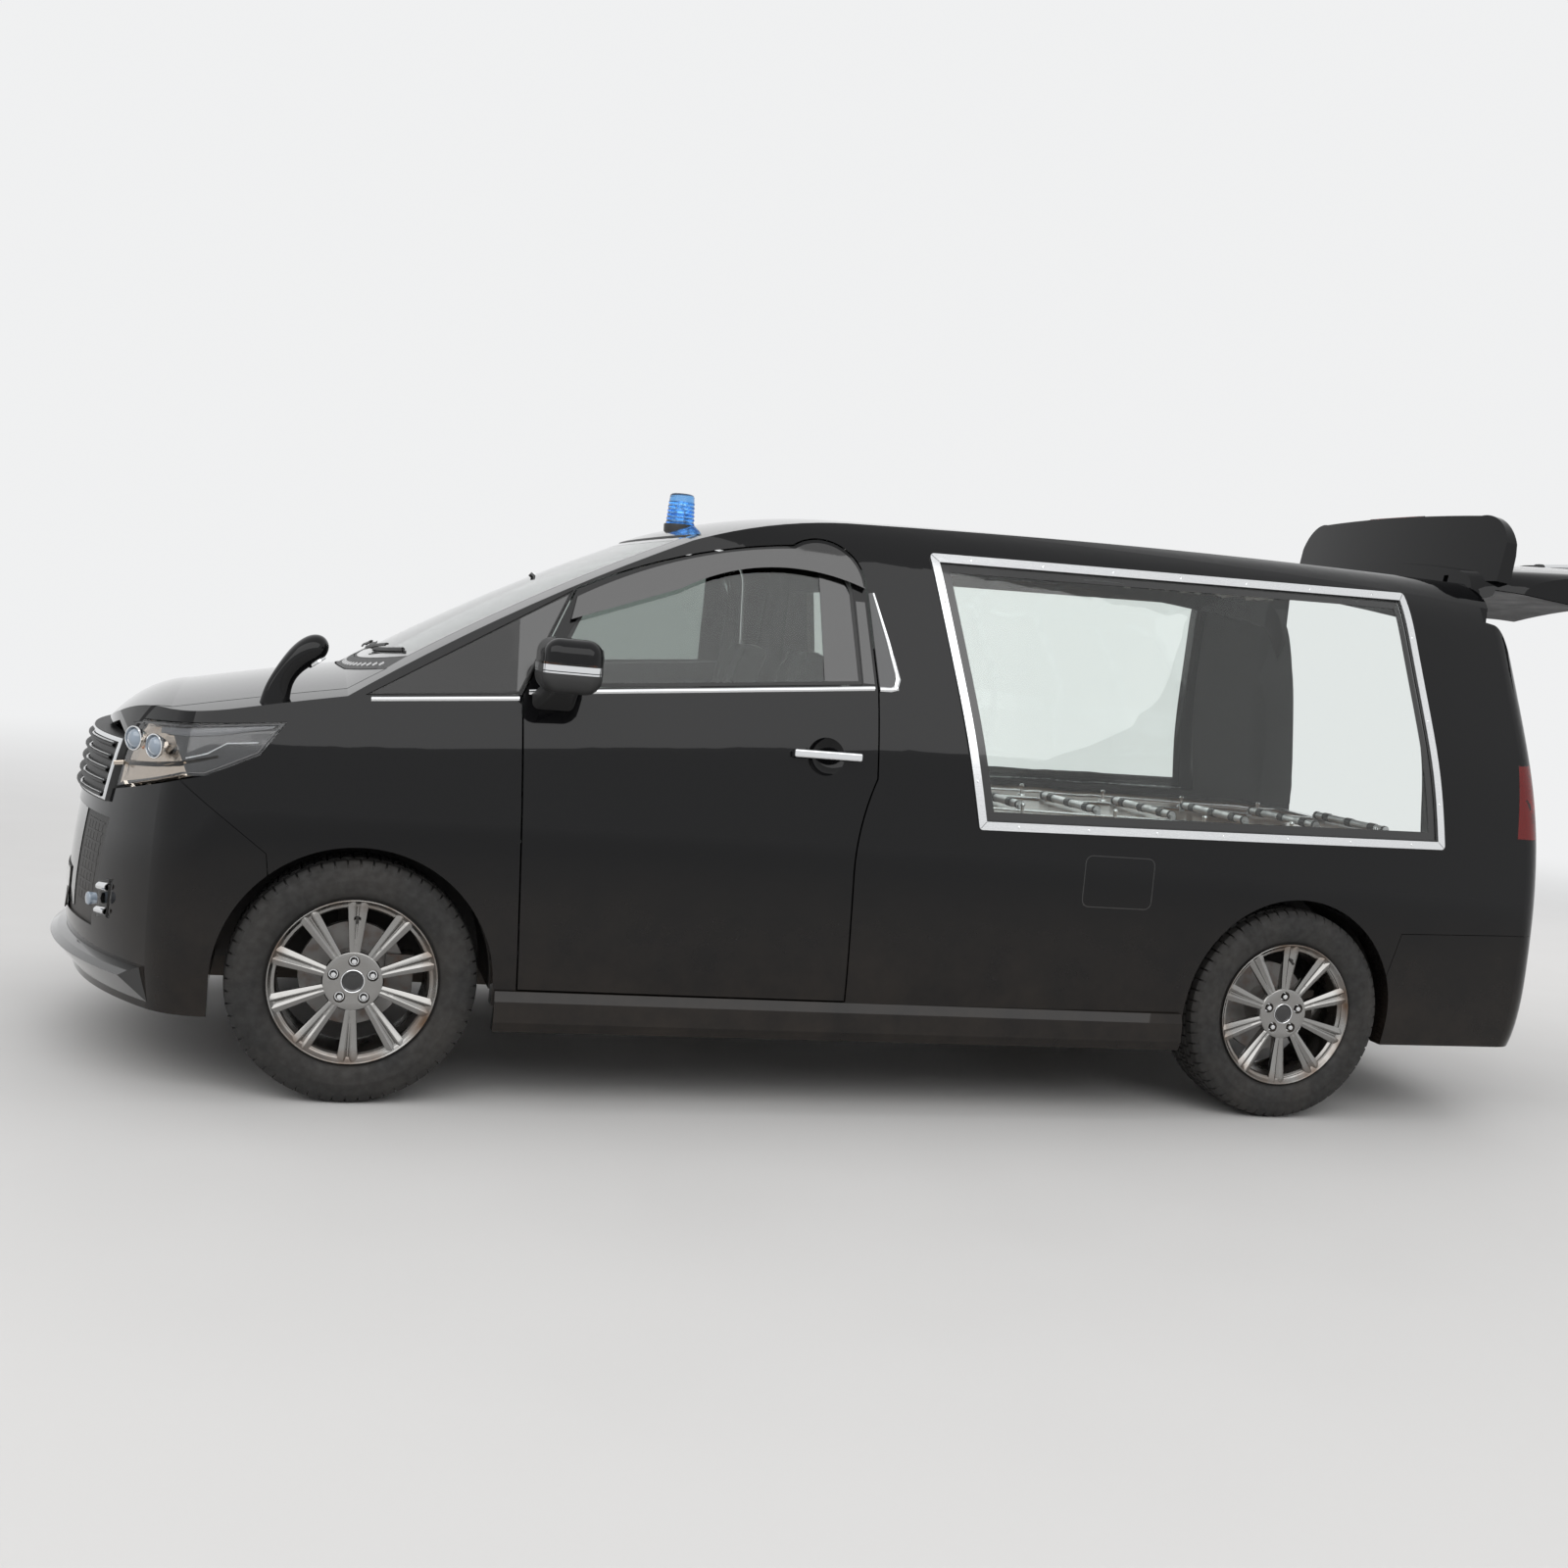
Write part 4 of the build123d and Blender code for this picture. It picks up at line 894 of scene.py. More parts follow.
def makeTyre():
    rows = treadRows + [(-a, r, kind) for a, r, kind in reversed(treadRows[:-1])]
    points, faces = [], []
    ringSize = len(rows)
    for p in range(tread["pitches"]):
        for s, station in enumerate(treadStations):
            turn = math.tau * (p + station) / tread["pitches"]
            for across, radius, kind in rows:
                low = kind in treadHigh and not treadHigh[kind][s]
                deep = tread["grooveDepth"] if kind != "shoulder" or radius > 340 else tread["shoulderDepth"]
                r = (radius - deep * low) / 1000
                points.append((r * math.cos(turn), across / 1000, r * math.sin(turn)))
    total = tread["pitches"] * len(treadStations)
    for k in range(total):
        for r in range(ringSize - 1):
            a, b = k * ringSize + r, ((k + 1) % total) * ringSize + r
            faces.append((a, a + 1, b + 1, b))
    tyre = meshPiece(points, faces)
    evenNormals(tyre)
    outward = sum(p.normal.dot(Vector((p.center.x, 0, p.center.z)).normalized()) for p in tyre.data.polygons)
    if outward < 0:
        tyre.data.flip_normals()
    thicken(tyre, tread["wall"])
    return tyre


def placeOnWheel(piece, name, spot):
    end, side, node = wheelSpots[spot]
    twin = duplicate(piece)
    if side < 0:
        mirrorMesh(twin.data)
    twin.location = at(end * halfBase, side * wheelMiddle, axleHeight)
    return settle(twin, name + spot, "wheel_" + node)


def onAxle(profile, steps):
    return turned(profile, (0, 0, 0), (0, 1, 0), steps)


# Each wheel's five nut places
def nutSpots(y=0):
    turns = [math.radians(72 * k + 18) for k in range(5)]
    circle = rimSizes["nutCircle"] / 1000
    return [(circle * math.cos(turn), y, circle * math.sin(turn)) for turn in turns]


def bakedJoin(pieces):
    piece = joined(pieces)
    bakePlace()
    return piece


def makeWheelFittings():
    nuts = []
    for spot in nutSpots():
        nuts.append(turned([(0.066, 0.0), (0.066, 0.0105), (0.082, 0.0102), (0.0865, 0.0075), (0.088, 0.0)], spot,
                           (0, 1, 0), 6))
        nuts.append(turned([(0.0695, 0.0125), (0.0705, 0.0135), (0.0722, 0.0132), (0.0722, 0.0105)], spot,
                           (0, 1, 0), 20))
    nuts = bakedJoin(nuts)
    cap = onAxle([(0.082, 0.03), (0.0845, 0.03), (0.0855, 0.029), (0.0845, 0.0265), (0.0835, 0.025), (0.084, 0.02),
                  (0.0848, 0.012), (0.085, 0.0)], 40)
    capRing = onAxle([(0.0815, 0.0335), (0.0846, 0.0332), (0.0852, 0.0318), (0.0845, 0.0305), (0.0815, 0.03)], 40)
    seatProfile = [(0.0684, 0.0), (0.0684, 0.0158), (0.081, 0.0159), (0.081, 0.0152), (0.0692, 0.0148), (0.069, 0.0)]
    seats = bakedJoin([turned(seatProfile, spot, (0, 1, 0), 28) for spot in nutSpots()])
    valve = bar([(0.0, 0.078, 0.186), (0.0, 0.094, 0.178), (0.0, 0.106, 0.172)], 0.0042)
    weight = roundedBlock((0.0, -0.03, 0.207), (0.05, 0.02, 0.004), 0.0012)
    made = {"wheelNuts": (nuts, chrome), "nutSeats": (seats, chassisBlack), "wheelCap": (cap, glossBlack),
            "wheelCapRing": (capRing, chrome), "valveStem": (valve, matteBlack), "balanceWeight": (weight, dullSteel)}
    for piece, finish in made.values():
        piece.data.materials.append(finish)
    return {name: piece for name, (piece, finish) in made.items()}


rimSizes = {"spokes": 10, "rootRadius": 74, "tipRadius": 229, "rootHalf": 15, "tipHalf": 30, "back": 34, "edgeDrop": 6,
            "hub": 86, "nutCircle": 57, "pocket": 0.0162}


# One spoke: two ridges with a groove that widens and deepens towards the rim
def makeSpoke():
    radii = [rimSizes["rootRadius"] + (rimSizes["tipRadius"] - rimSizes["rootRadius"]) * k / 10 for k in range(11)]
    points = []
    for radius in radii:
        t = (radius - radii[0]) / (radii[-1] - radii[0])
        half = rimSizes["rootHalf"] + (rimSizes["tipHalf"] - rimSizes["rootHalf"]) * t
        face = 83.5 + 13 * t ** 1.6
        groove = 1.5 + 9 * t
        crest = half * (0.34 + 0.08 * t)
        drop = rimSizes["edgeDrop"] * (0.5 + 0.5 * t)
        back = face - rimSizes["back"] * (1 - 0.45 * t)
        section = [(1.5, face - groove), (crest - 1.6, face - 0.8), (crest, face), (crest + 1.2, face - 0.4),
                   (half - 1.2, face - drop), (half, face - drop - 4), (0.8 * half, back)]
        section = [(-v, y) for v, y in reversed(section)] + section
        points += [(v / 1000, y / 1000, radius / 1000) for v, y in section]
    return tube(points, len(section))


def makeRim():
    profile = [(-101, 226), (-101, 235), (-98, 236), (-92, 235.5), (-88, 217), (-60, 215.5), (60, 215.5), (88, 217),
               (92, 235.5), (97.5, 236), (100.4, 235), (101, 233.2), (99.4, 231), (94, 228.5), (90, 223), (87.5, 221.5),
               (85, 220.5), (83, 214), (76, 209), (40, 207), (-60, 206.5), (-92, 208.5), (-101, 226)]
    barrel = onAxle([(a / 1000, r / 1000) for a, r in profile], 96)
    hubProfile = [(48, 0), (48, 78), (62, 84), (78, rimSizes["hub"]), (83, rimSizes["hub"] - 3), (84.5, 78), (84, 62),
                  (82.5, 48), (82, 38), (82, 0)]
    hub = onAxle([(a / 1000, r / 1000) for a, r in hubProfile], 80)
    pockets = []
    for spot in nutSpots(0.088):
        deselect()
        bpy.ops.mesh.primitive_cylinder_add(vertices=32, radius=rimSizes["pocket"], depth=0.04, location=spot,
                                            rotation=(math.pi / 2, 0, 0))
        pockets.append(bpy.context.object)
    pocket = joined(pockets)
    bore = hub.modifiers.new("pockets", "BOOLEAN")
    bore.operation = "DIFFERENCE"
    bore.object = pocket
    applyModifiers(hub)
    bpy.data.objects.remove(pocket)
    spoke = makeSpoke()
    spokes = [spoke]
    for k in range(1, rimSizes["spokes"]):
        twin = duplicate(spoke)
        twin.data.transform(Matrix.Rotation(math.tau * k / rimSizes["spokes"], 4, "Y"))
        spokes.append(twin)
    rim = joined([barrel, hub] + spokes)
    edge = rim.modifiers.new("edge", "BEVEL")
    edge.width = 0.0007
    edge.segments = 2
    edge.limit_method = "ANGLE"
    edge.angle_limit = math.radians(40)
    applyModifiers(rim)
    rim.data.materials.append(rimMetal)
    disc = onAxle([(-0.062, 0.034), (-0.062, 0.15), (-0.0515, 0.1508), (-0.0515, 0.142), (-0.0465, 0.142),
                   (-0.0465, 0.1508), (-0.036, 0.15), (-0.036, 0.074), (0.044, 0.072), (0.0475, 0.069), (0.0475, 0.034),
                   (-0.062, 0.034)], 72)
    disc.data.materials.append(discMetal)
    return rim, disc


tyreModel = makeTyre()
tyreModel.data.materials.append(rubber)
rimModel, discModel = makeRim()
fittings = makeWheelFittings()
for spot, (end, side, node) in wheelSpots.items():
    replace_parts(placeOnWheel(tyreModel, "treadTyre", spot), "tyre_" + node)
    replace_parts(placeOnWheel(rimModel, "alloyRim", spot), "rim_" + node)
    placeOnWheel(discModel, "brakeRotor", spot)
    for label, model in fittings.items():
        placeOnWheel(model, label, spot)
for model in [tyreModel, rimModel, discModel] + list(fittings.values()):
    bpy.data.objects.remove(model)
print("wheels made")

# Door mirrors: bands round the head, each with its low and high edge, how far it reaches in, and its lift
mirrorBands = {"mirrorStripe": (1.283, 1.299, 0.912, 0.95, 1.6, chrome),
               "mirrorLine": (1.276, 1.2805, 0.912, 0.97, 1.4, chrome),
               "mirrorIndicator": (1.2995, 1.305, 0.93, 1.0, 1.2, amberLens)}
mirrorSizes = {"footTop": 1.276, "middle": (1035, 1298), "glass": [
    (968, 1252), (1104, 1252), (1117, 1268), (1117, 1328), (1104, 1344), (968, 1344), (953, 1330), (953, 1266)]}


def makeMirrors():
    top = mirrorSizes["footTop"]
    paired(coverPiece("mirror_left", lambda c, n: c.z < top, 0.7, [levelCut(top)]), "mirrorFoot", matteBlack, "doors")
    for name, (low, high, ahead, out, lift, finish) in mirrorBands.items():
        band = coverPiece("mirror_left", lambda c, n: low < c.z < high and c.x > ahead and c.y > out, lift,
                          [levelCut(low), levelCut(high), lengthCut(ahead), widthCut(out)], depth=lift)
        paired(band, name, finish, "doors")
    rim = mirrorSizes["glass"]
    layPair("mirrorGlass", chrome, "mirror_left", rim, [mirrorSizes["middle"]] * len(rim), view="back", closed=True,
            rows=3, step=30, lift=0.6, depth=0.5, place="doors")
    layPair("mirrorRim", matteBlack, "mirror_left", offsetLoop(rightWay(rim), 5), rightWay(rim), view="back",
            closed=True, rows=3, step=30, lift=0.5, crown=2.5, depth=1, place="doors")


# Small mirror on the left fender: a foot that sweeps back into a rounded head. Rows: x, z, half length, half width
fenderPod = {"y": 804, "sides": 28, "headRow": 5, "rows": [
    (1766, 1100, 42, 30), (1760, 1150, 37, 26), (1747, 1188, 31, 28), (1727, 1222, 32, 36), (1704, 1249, 37, 45),
    (1681, 1268, 40, 49), (1661, 1282, 38, 46), (1646, 1292, 29, 37), (1637, 1297, 17, 23), (1634, 1299, 5, 7)]}


def makeFenderMirror():
    rows, count, y = fenderPod["rows"], fenderPod["sides"], fenderPod["y"]
    points, ends = [], []
    for k, (x, z, half, wide) in enumerate(rows):
        before, after = rows[max(k - 1, 0)], rows[min(k + 1, len(rows) - 1)]
        run = Vector((after[0] - before[0], 0, after[1] - before[1])).normalized()
        cross = Vector((-run.z, 0, run.x))
        for s in range(count):
            turn = math.tau * s / count
            spot = Vector((x, y, z)) + cross * half * math.cos(turn) + Vector((0, wide * math.sin(turn), 0))
            points.append(at(*spot / 1000))
        ends.append(run)
    shell = tube(points, count)
    rim = shell.modifiers.new("rim", "BEVEL")
    rim.width, rim.segments, rim.angle_limit = 0.004, 3, math.radians(50)
    smooth = shell.modifiers.new("smooth", "SUBSURF")
    smooth.levels = smooth.render_levels = 2
    applyModifiers(shell)
    settle(shell, "fenderMirrorShell", "root", paint, smooth=45)
    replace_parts(shell, "fender_mirror")
    head = fenderPod["headRow"]
    x, z, half, wide = rows[head]
    under = Vector((-ends[head].z, 0, ends[head].x))
    glass = turned([(-0.009, 0.0), (-0.009, 0.026), (0.0, 0.027), (0.0015, 0.0255), (0.0005, 0.024), (0.0005, 0.0)],
                   at(x / 1000, y / 1000, z / 1000) + under * half / 1000, under, 36)
    settle(glass, "fenderMirrorGlass", "root", chrome)


makeMirrors()
makeFenderMirror()
print("mirrors made")

# Headlamps: a bright front half with two projectors, and a dark rear half
lampSizes = {"darkFrom": 2010, "projectors": [(2.128, 0.752, 0.985), (2.07, 0.806, 0.972)], "facing": (0.72, 0.69, 0)}


def outerFace(c, n):
    outward = Vector((c.x - 1.55, c.y, 0)).normalized()
    return n.dot(outward) > 0.45 or n.z > 0.6


def makeHeadlamps():
    plane = Vector((1, 0, -0.45))
    through = Vector((lampSizes["darkFrom"] / 1000, 0, 0.97))
    split = (through + Vector((carMiddle, 0, 0)), plane)

    def isOuter(c, n, front):
        return c.y > 0 and outerFace(c, n) and ((c - through).dot(plane) > 0) == front

    paired(coverPiece("headlamps", lambda c, n: isOuter(c, n, True), -26, [split]), "lampReflector", lampChrome)
    paired(coverPiece("headlamps", lambda c, n: isOuter(c, n, False), -9, [split]), "lampDarkHalf", smokedTrim)
    face = Vector(lampSizes["facing"]).normalized()
    spots = [at(*spot) for spot in lampSizes["projectors"]]
    ring = [(-0.03, 0.0), (-0.03, 0.02), (-0.012, 0.029), (0.0, 0.034), (0.004, 0.034), (0.005, 0.031), (0.0, 0.0285),
            (-0.004, 0.0275)]
    paired(joined([turned(ring, spot, face, 36) for spot in spots]), "projectorRings", chrome)
    eye = [(-0.006, 0.0275), (0.0, 0.026), (0.007, 0.019), (0.0105, 0.01), (0.0115, 0.0)]
    paired(joined([turned(eye, spot, face, 36) for spot in spots]), "projectorEyes", projectorGlass)
    layPair("lampBrow", lampSatin, "headlamps", [(2060, 1005), (1985, 1008), (1900, 1020), (1840, 1034), (1765,
            1048)], [(2060, 1021), (1984, 1029), (1898, 1041), (1838, 1049), (1752, 1060)], rows=3, step=25, lift=-3,
            crown=1, depth=2)
    layPair("lightGuide", whiteLens, "headlamps", [(1985, 948), (1930, 966), (1880, 998), (1800, 1006)], [(1988, 951),
            (1931, 970), (1880, 1002), (1797, 1010)], rows=2, step=25, lift=-4, crown=1, depth=2)
    layPair("lampBlade", lampChrome, "headlamps", [(2190, 892), (2080, 912), (1985, 935), (1900, 960)], [(2190, 904),
            (2080, 923), (1985, 944), (1902, 966)], rows=2, step=25, lift=-6, crown=2, depth=3)
    layPair("sideMarker", amberLens, "headlamps", [(622, 950), (668, 950)], [(622, 984), (668, 984)], view="front",
            rows=2, step=12, lift=-7, crown=1, depth=3)
    loop = rightWay([(2142, 1022), (1734, 1064), (1796, 978), (1932, 912), (1990, 907), (2142, 850)])
    layPair("lampEdge", smokedTrim, "headlamps", loop, offsetLoop(loop, -5), rows=2, step=25, lift=0.2, crown=0.8,
            depth=1)


makeHeadlamps()
print("headlamps made")

# Grille, intake, fog lamps and blank plate
front = {"blades": 5, "bladeLow": 797, "bladePitch": 36, "plateWidth": 520, "plateHeight": 112, "plateZ": 478}


def makeFront():
    border = rightWay([(-572, 789), (-590, 963), (590, 963), (572, 789)])
    lay("grilleSurround", "root", chrome, "grille", *ringOf(border, 3, -12), view="front",
        closed=True, rows=4, step=45, lift=0.4, crown=5, depth=2)
    # The blades are matte black as painted reflection: their dark colour stands in for the ground reflected in the
    # grille; the chrome lips on their tops are real metal
    bars, lips = [], []
    ys = range(-555, 556, 74)
    for k in range(front["blades"]):
        z = front["bladeLow"] + front["bladePitch"] * k
        bars.append(skinSheet("grille", [(y, z - 7) for y in ys], [(y, z + 9) for y in ys], view="front", rows=5,
                              step=80, lift=0.4, crown=11, depth=2))
        lips.append(skinSheet("grille", [(y, z + 6) for y in ys], [(y, z + 11) for y in ys], view="front", rows=4,
                              step=80, lift=8, crown=5, depth=3))
    settle(joined(bars), "grilleBladesDarkReflection", "root", matteBlack)
    settle(joined(lips), "grilleBladeEdges", "root", grilleChrome)
    mesh = []
    for side in (1, -1):
        for k in range(9):
            z = 470 + 30 * k
            half = 520 + (z - 420) * 0.125
            inner, outer = side * (half - 150), side * (half - 6)
            mesh.append(skinSheet("lower_grille", [(inner, z), (outer, z)], [(inner, z + 7), (outer, z + 7)],
                                  view="front", rows=1, step=20, lift=1, depth=4))
        for k in range(5):
            y = side * (400 + 30 * k)
            near, far = ([(y + side * off, 470), (y + side * (off + 12), 720)] for off in (0, 7))
            mesh.append(skinSheet("lower_grille", near, far, view="front", rows=1, step=25, lift=0.6, depth=4))
    settle(joined(mesh), "intakeMesh", "root", matteBlack)
    centre = rightWay([(-355, 440), (-372, 735), (372, 735), (355, 440)])
    lay("intakeCentre", "root", glossBlack, "lower_grille", centre, [(0, z) for z in (440, 735, 735, 440)],
        view="front", closed=True, rows=6, step=40, lift=3, depth=2)
    for name, band in (("Upper", (534, 556)), ("Lower", (466, 486))):
        layPair("fogBezel" + name, chrome, "fog_lamps", [(611, band[0]), (664, band[0] + 4)], [(611, band[1]), (664,
                band[1] + 6)], view="front", rows=5, step=8, lift=0.5, crown=9, depth=2)
    lens = turned([(-0.02, 0.0), (-0.02, 0.016), (0.0, 0.019), (0.003, 0.017), (0.0045, 0.009), (0.005, 0.0)],
                  at(2.232, 0.637, 0.512), (0.9, 0.43, 0), 28)
    paired(lens, "fogEye", projectorGlass)
    half, z, high = front["plateWidth"] / 2, front["plateZ"], front["plateHeight"] / 2
    outline = [(-half, z - high), (half, z - high), (half, z + high), (-half, z + high)]
    lay("frontPlateHolder", "root", matteBlack, "lower_grille", offsetLoop(outline, 6), [(0, z)] * 4, view="front",
        closed=True, rows=5, step=60, lift=7, depth=3)
    lay("frontPlateBlank", "root", plateWhite, "lower_grille", outline, [(0, z)] * 4, view="front", closed=True,
        rows=5, step=60, lift=8.4, depth=1.2)


makeFront()
print("front made")

# Seats: foam pads on a plastic base, lean in degrees
seatSizes = {"y": 0.395, "lean": 18, "backX": 0.33, "backZ": 0.64, "voxel": 0.008, "pressure": 4.0, "frames": 20,
             "fill": 0.7, "seam": 0.15}


# Swells a closed shape as foam under cloth does, each point by no more than the cap
def puff(piece, cap, voxel):
    pick(piece)
    remesh = piece.modifiers.new("even", "REMESH")
    remesh.mode = "VOXEL"
    remesh.voxel_size = voxel
    applyModifiers(piece)
    start = [v.co.copy() for v in piece.data.vertices]
    stuffing = piece.modifiers.new("stuffing", "CLOTH")
    stuffing.settings.quality = 4
    stuffing.settings.use_pressure = True
    stuffing.settings.uniform_pressure_force = seatSizes["pressure"]
    stuffing.settings.effector_weights.gravity = 0
    stuffing.point_cache.frame_start, stuffing.point_cache.frame_end = 1, seatSizes["frames"]
    for step in range(1, seatSizes["frames"] + 1):
        scene.frame_set(step)
    swollen = piece.evaluated_get(bpy.context.evaluated_depsgraph_get()).data
    ends = [v.co.copy() for v in swollen.vertices]
    piece.modifiers.remove(stuffing)
    for vertex, a, b in zip(piece.data.vertices, start, ends):
        move = b - a
        if move.length > cap:
            move *= cap / move.length
        vertex.co = a + move
    scene.frame_set(1)
    smooth = piece.modifiers.new("relax", "SMOOTH")
    smooth.iterations = 3
    finer = piece.modifiers.new("finer", "SUBSURF")
    finer.levels = finer.render_levels = 1
    applyModifiers(piece)


# Pad with a dense grid on each face, shaped by moving its points
def padShape(size, shape, cuts=18):
    deselect()
    bpy.ops.mesh.primitive_cube_add(size=1, location=(0, 0, 0))
    pad = bpy.context.object
    bpy.ops.object.mode_set(mode="EDIT")
    bpy.ops.mesh.select_all(action="SELECT")
    bpy.ops.mesh.subdivide(number_cuts=cuts)
    bpy.ops.object.mode_set(mode="OBJECT")
    for vertex in pad.data.vertices:
        u, v, w = (2 * c for c in vertex.co)
        x, y, z = shape(u, v, w)
        vertex.co = (x * size[0] / 2, y * size[1] / 2, z * size[2] / 2)
    corner = pad.modifiers.new("round", "BEVEL")
    corner.width, corner.segments = 0.03, 4
    corner.limit_method = "ANGLE"
    corner.angle_limit = math.radians(50)
    applyModifiers(pad)
    return pad


def cushionShape(u, v, w):
    bolster = max(0, abs(v) - 0.6) / 0.4
    rise = 0.3 * bolster ** 1.3 * (1 - 0.5 * max(0, u)) if w > 0 else 0
    nose = -0.35 * max(0, u - 0.7) / 0.3 if w > 0 else 0.25 * max(0, u - 0.6) / 0.4
    return u, v * (0.98 - 0.05 * max(0, w)), w * 0.82 + rise + nose


def backShape(u, v, w):
    bolster = max(0, abs(v) - 0.58) / 0.42
    forward = 0.55 * bolster ** 1.4 * (1 - 0.4 * max(0, w)) if u > 0 else 0
    waist = 1 - 0.12 * max(0, w) ** 2 - 0.04 * (1 - w * w)
    return u * (0.75 - 0.12 * max(0, w)) + forward, v * waist, w


def headShape(u, v, w):
    wing = max(0, abs(v) - 0.55) / 0.45
    forward = 0.9 * wing ** 1.5 if u > 0 else 0.25 * wing
    return u * 0.75 + forward, v * (1 - 0.1 * w * w), w * (1 - 0.12 * abs(v) ** 3)


# The backrest's foot and the way up along it
def backLine():
    lean = math.radians(seatSizes["lean"])
    foot = at(seatSizes["backX"], seatSizes["y"], seatSizes["backZ"])
    return foot, Vector((-math.sin(lean), 0, math.cos(lean)))


def placeTilted(piece, along):
    foot, rise = backLine()
    piece.rotation_euler = (0, -math.radians(seatSizes["lean"]), 0)
    piece.location = foot + rise * along


def padLines(piece, lines, name):
    tree = meshTree(piece)
    threads = []
    for start, end, away in lines:
        points = []
        for k in range(25):
            spot = start.lerp(end, k / 24) + away
            hit = tree.ray_cast(spot, -away.normalized())
            if hit[0] is not None:
                points.append(hit[0] + away.normalized() * 0.0006)
        if len(points) > 3:
            threads.append(bar(points, 0.0022, 3))
    paired(joined(threads), name, seamThread)


def makeSeats():
    y, seamOff, voxel = seatSizes["y"], seatSizes["seam"], seatSizes["voxel"]
    cushion = padShape((0.53, 0.485, 0.135), cushionShape)
    cushion.location = at(0.59, y, 0.625)
    settle(cushion, "seatCushionLeft", "root", cloth)
    puff(cushion, 0.016, voxel)
    back = padShape((0.12, 0.47, 0.60), backShape)
    placeTilted(back, 0.32)
    settle(back, "seatBackLeft", "root", cloth)
    puff(back, 0.014, voxel)
    head = padShape((0.085, 0.255, 0.18), headShape, 12)
    placeTilted(head, 0.7)
    settle(head, "headrestLeft", "root", cloth)
    puff(head, 0.008, 0.006)
    for piece in (cushion, back, head):
        pick(piece)
        bpy.ops.object.shade_smooth()
        twin = mirrorCopy(piece, piece.name.replace("Left", "Right"), "root")
        if piece is cushion:
            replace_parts(cushion, "seat_left")
            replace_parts(twin, "seat_right")
    up = Vector((0, 0, 0.3))
    ahead = Vector((0.4, 0, 0.12))
    seams = [(at(0.36, y + s * seamOff, 0.65), at(0.84, y + s * seamOff, 0.65), up) for s in (-1, 1)]
    seams += [(at(x, y - seamOff, 0.65), at(x, y + seamOff, 0.65), up) for x in (0.5, 0.66)]
    padLines(cushion, seams, "cushionSeams")
    foot, rise = backLine()
    side = Vector((0, seamOff - 0.005, 0))
    seams = [(foot + rise * 0.06 + s * side, foot + rise * 0.56 + s * side, ahead) for s in (1, -1)]
    seams += [(foot + rise * level - side, foot + rise * level + side, ahead) for level in (0.25, 0.43)]
    padLines(back, seams, "backSeams")
    base = roundedBlock(at(0.59, y, 0.48), (0.42, 0.37, 0.15), 0.02)
    tray = roundedBlock(at(0.59, y, 0.556), (0.5, 0.45, 0.03), 0.012)
    paired(joined([base, tray]), "seatBase", innerPlastic)
    posts = [[foot + rise * level + Vector((0, s * 0.06, 0)) for level in (0.56, 0.66)] for s in (1, -1)]
    paired(joined([bar(post, 0.006) for post in posts]), "headrestPosts", chrome)
    paired(roundedBlock(at(0.56, y + 0.238, 0.575), (0.26, 0.02, 0.06), 0.009), "seatLever", innerPlastic)


makeSeats()
print("seats made")


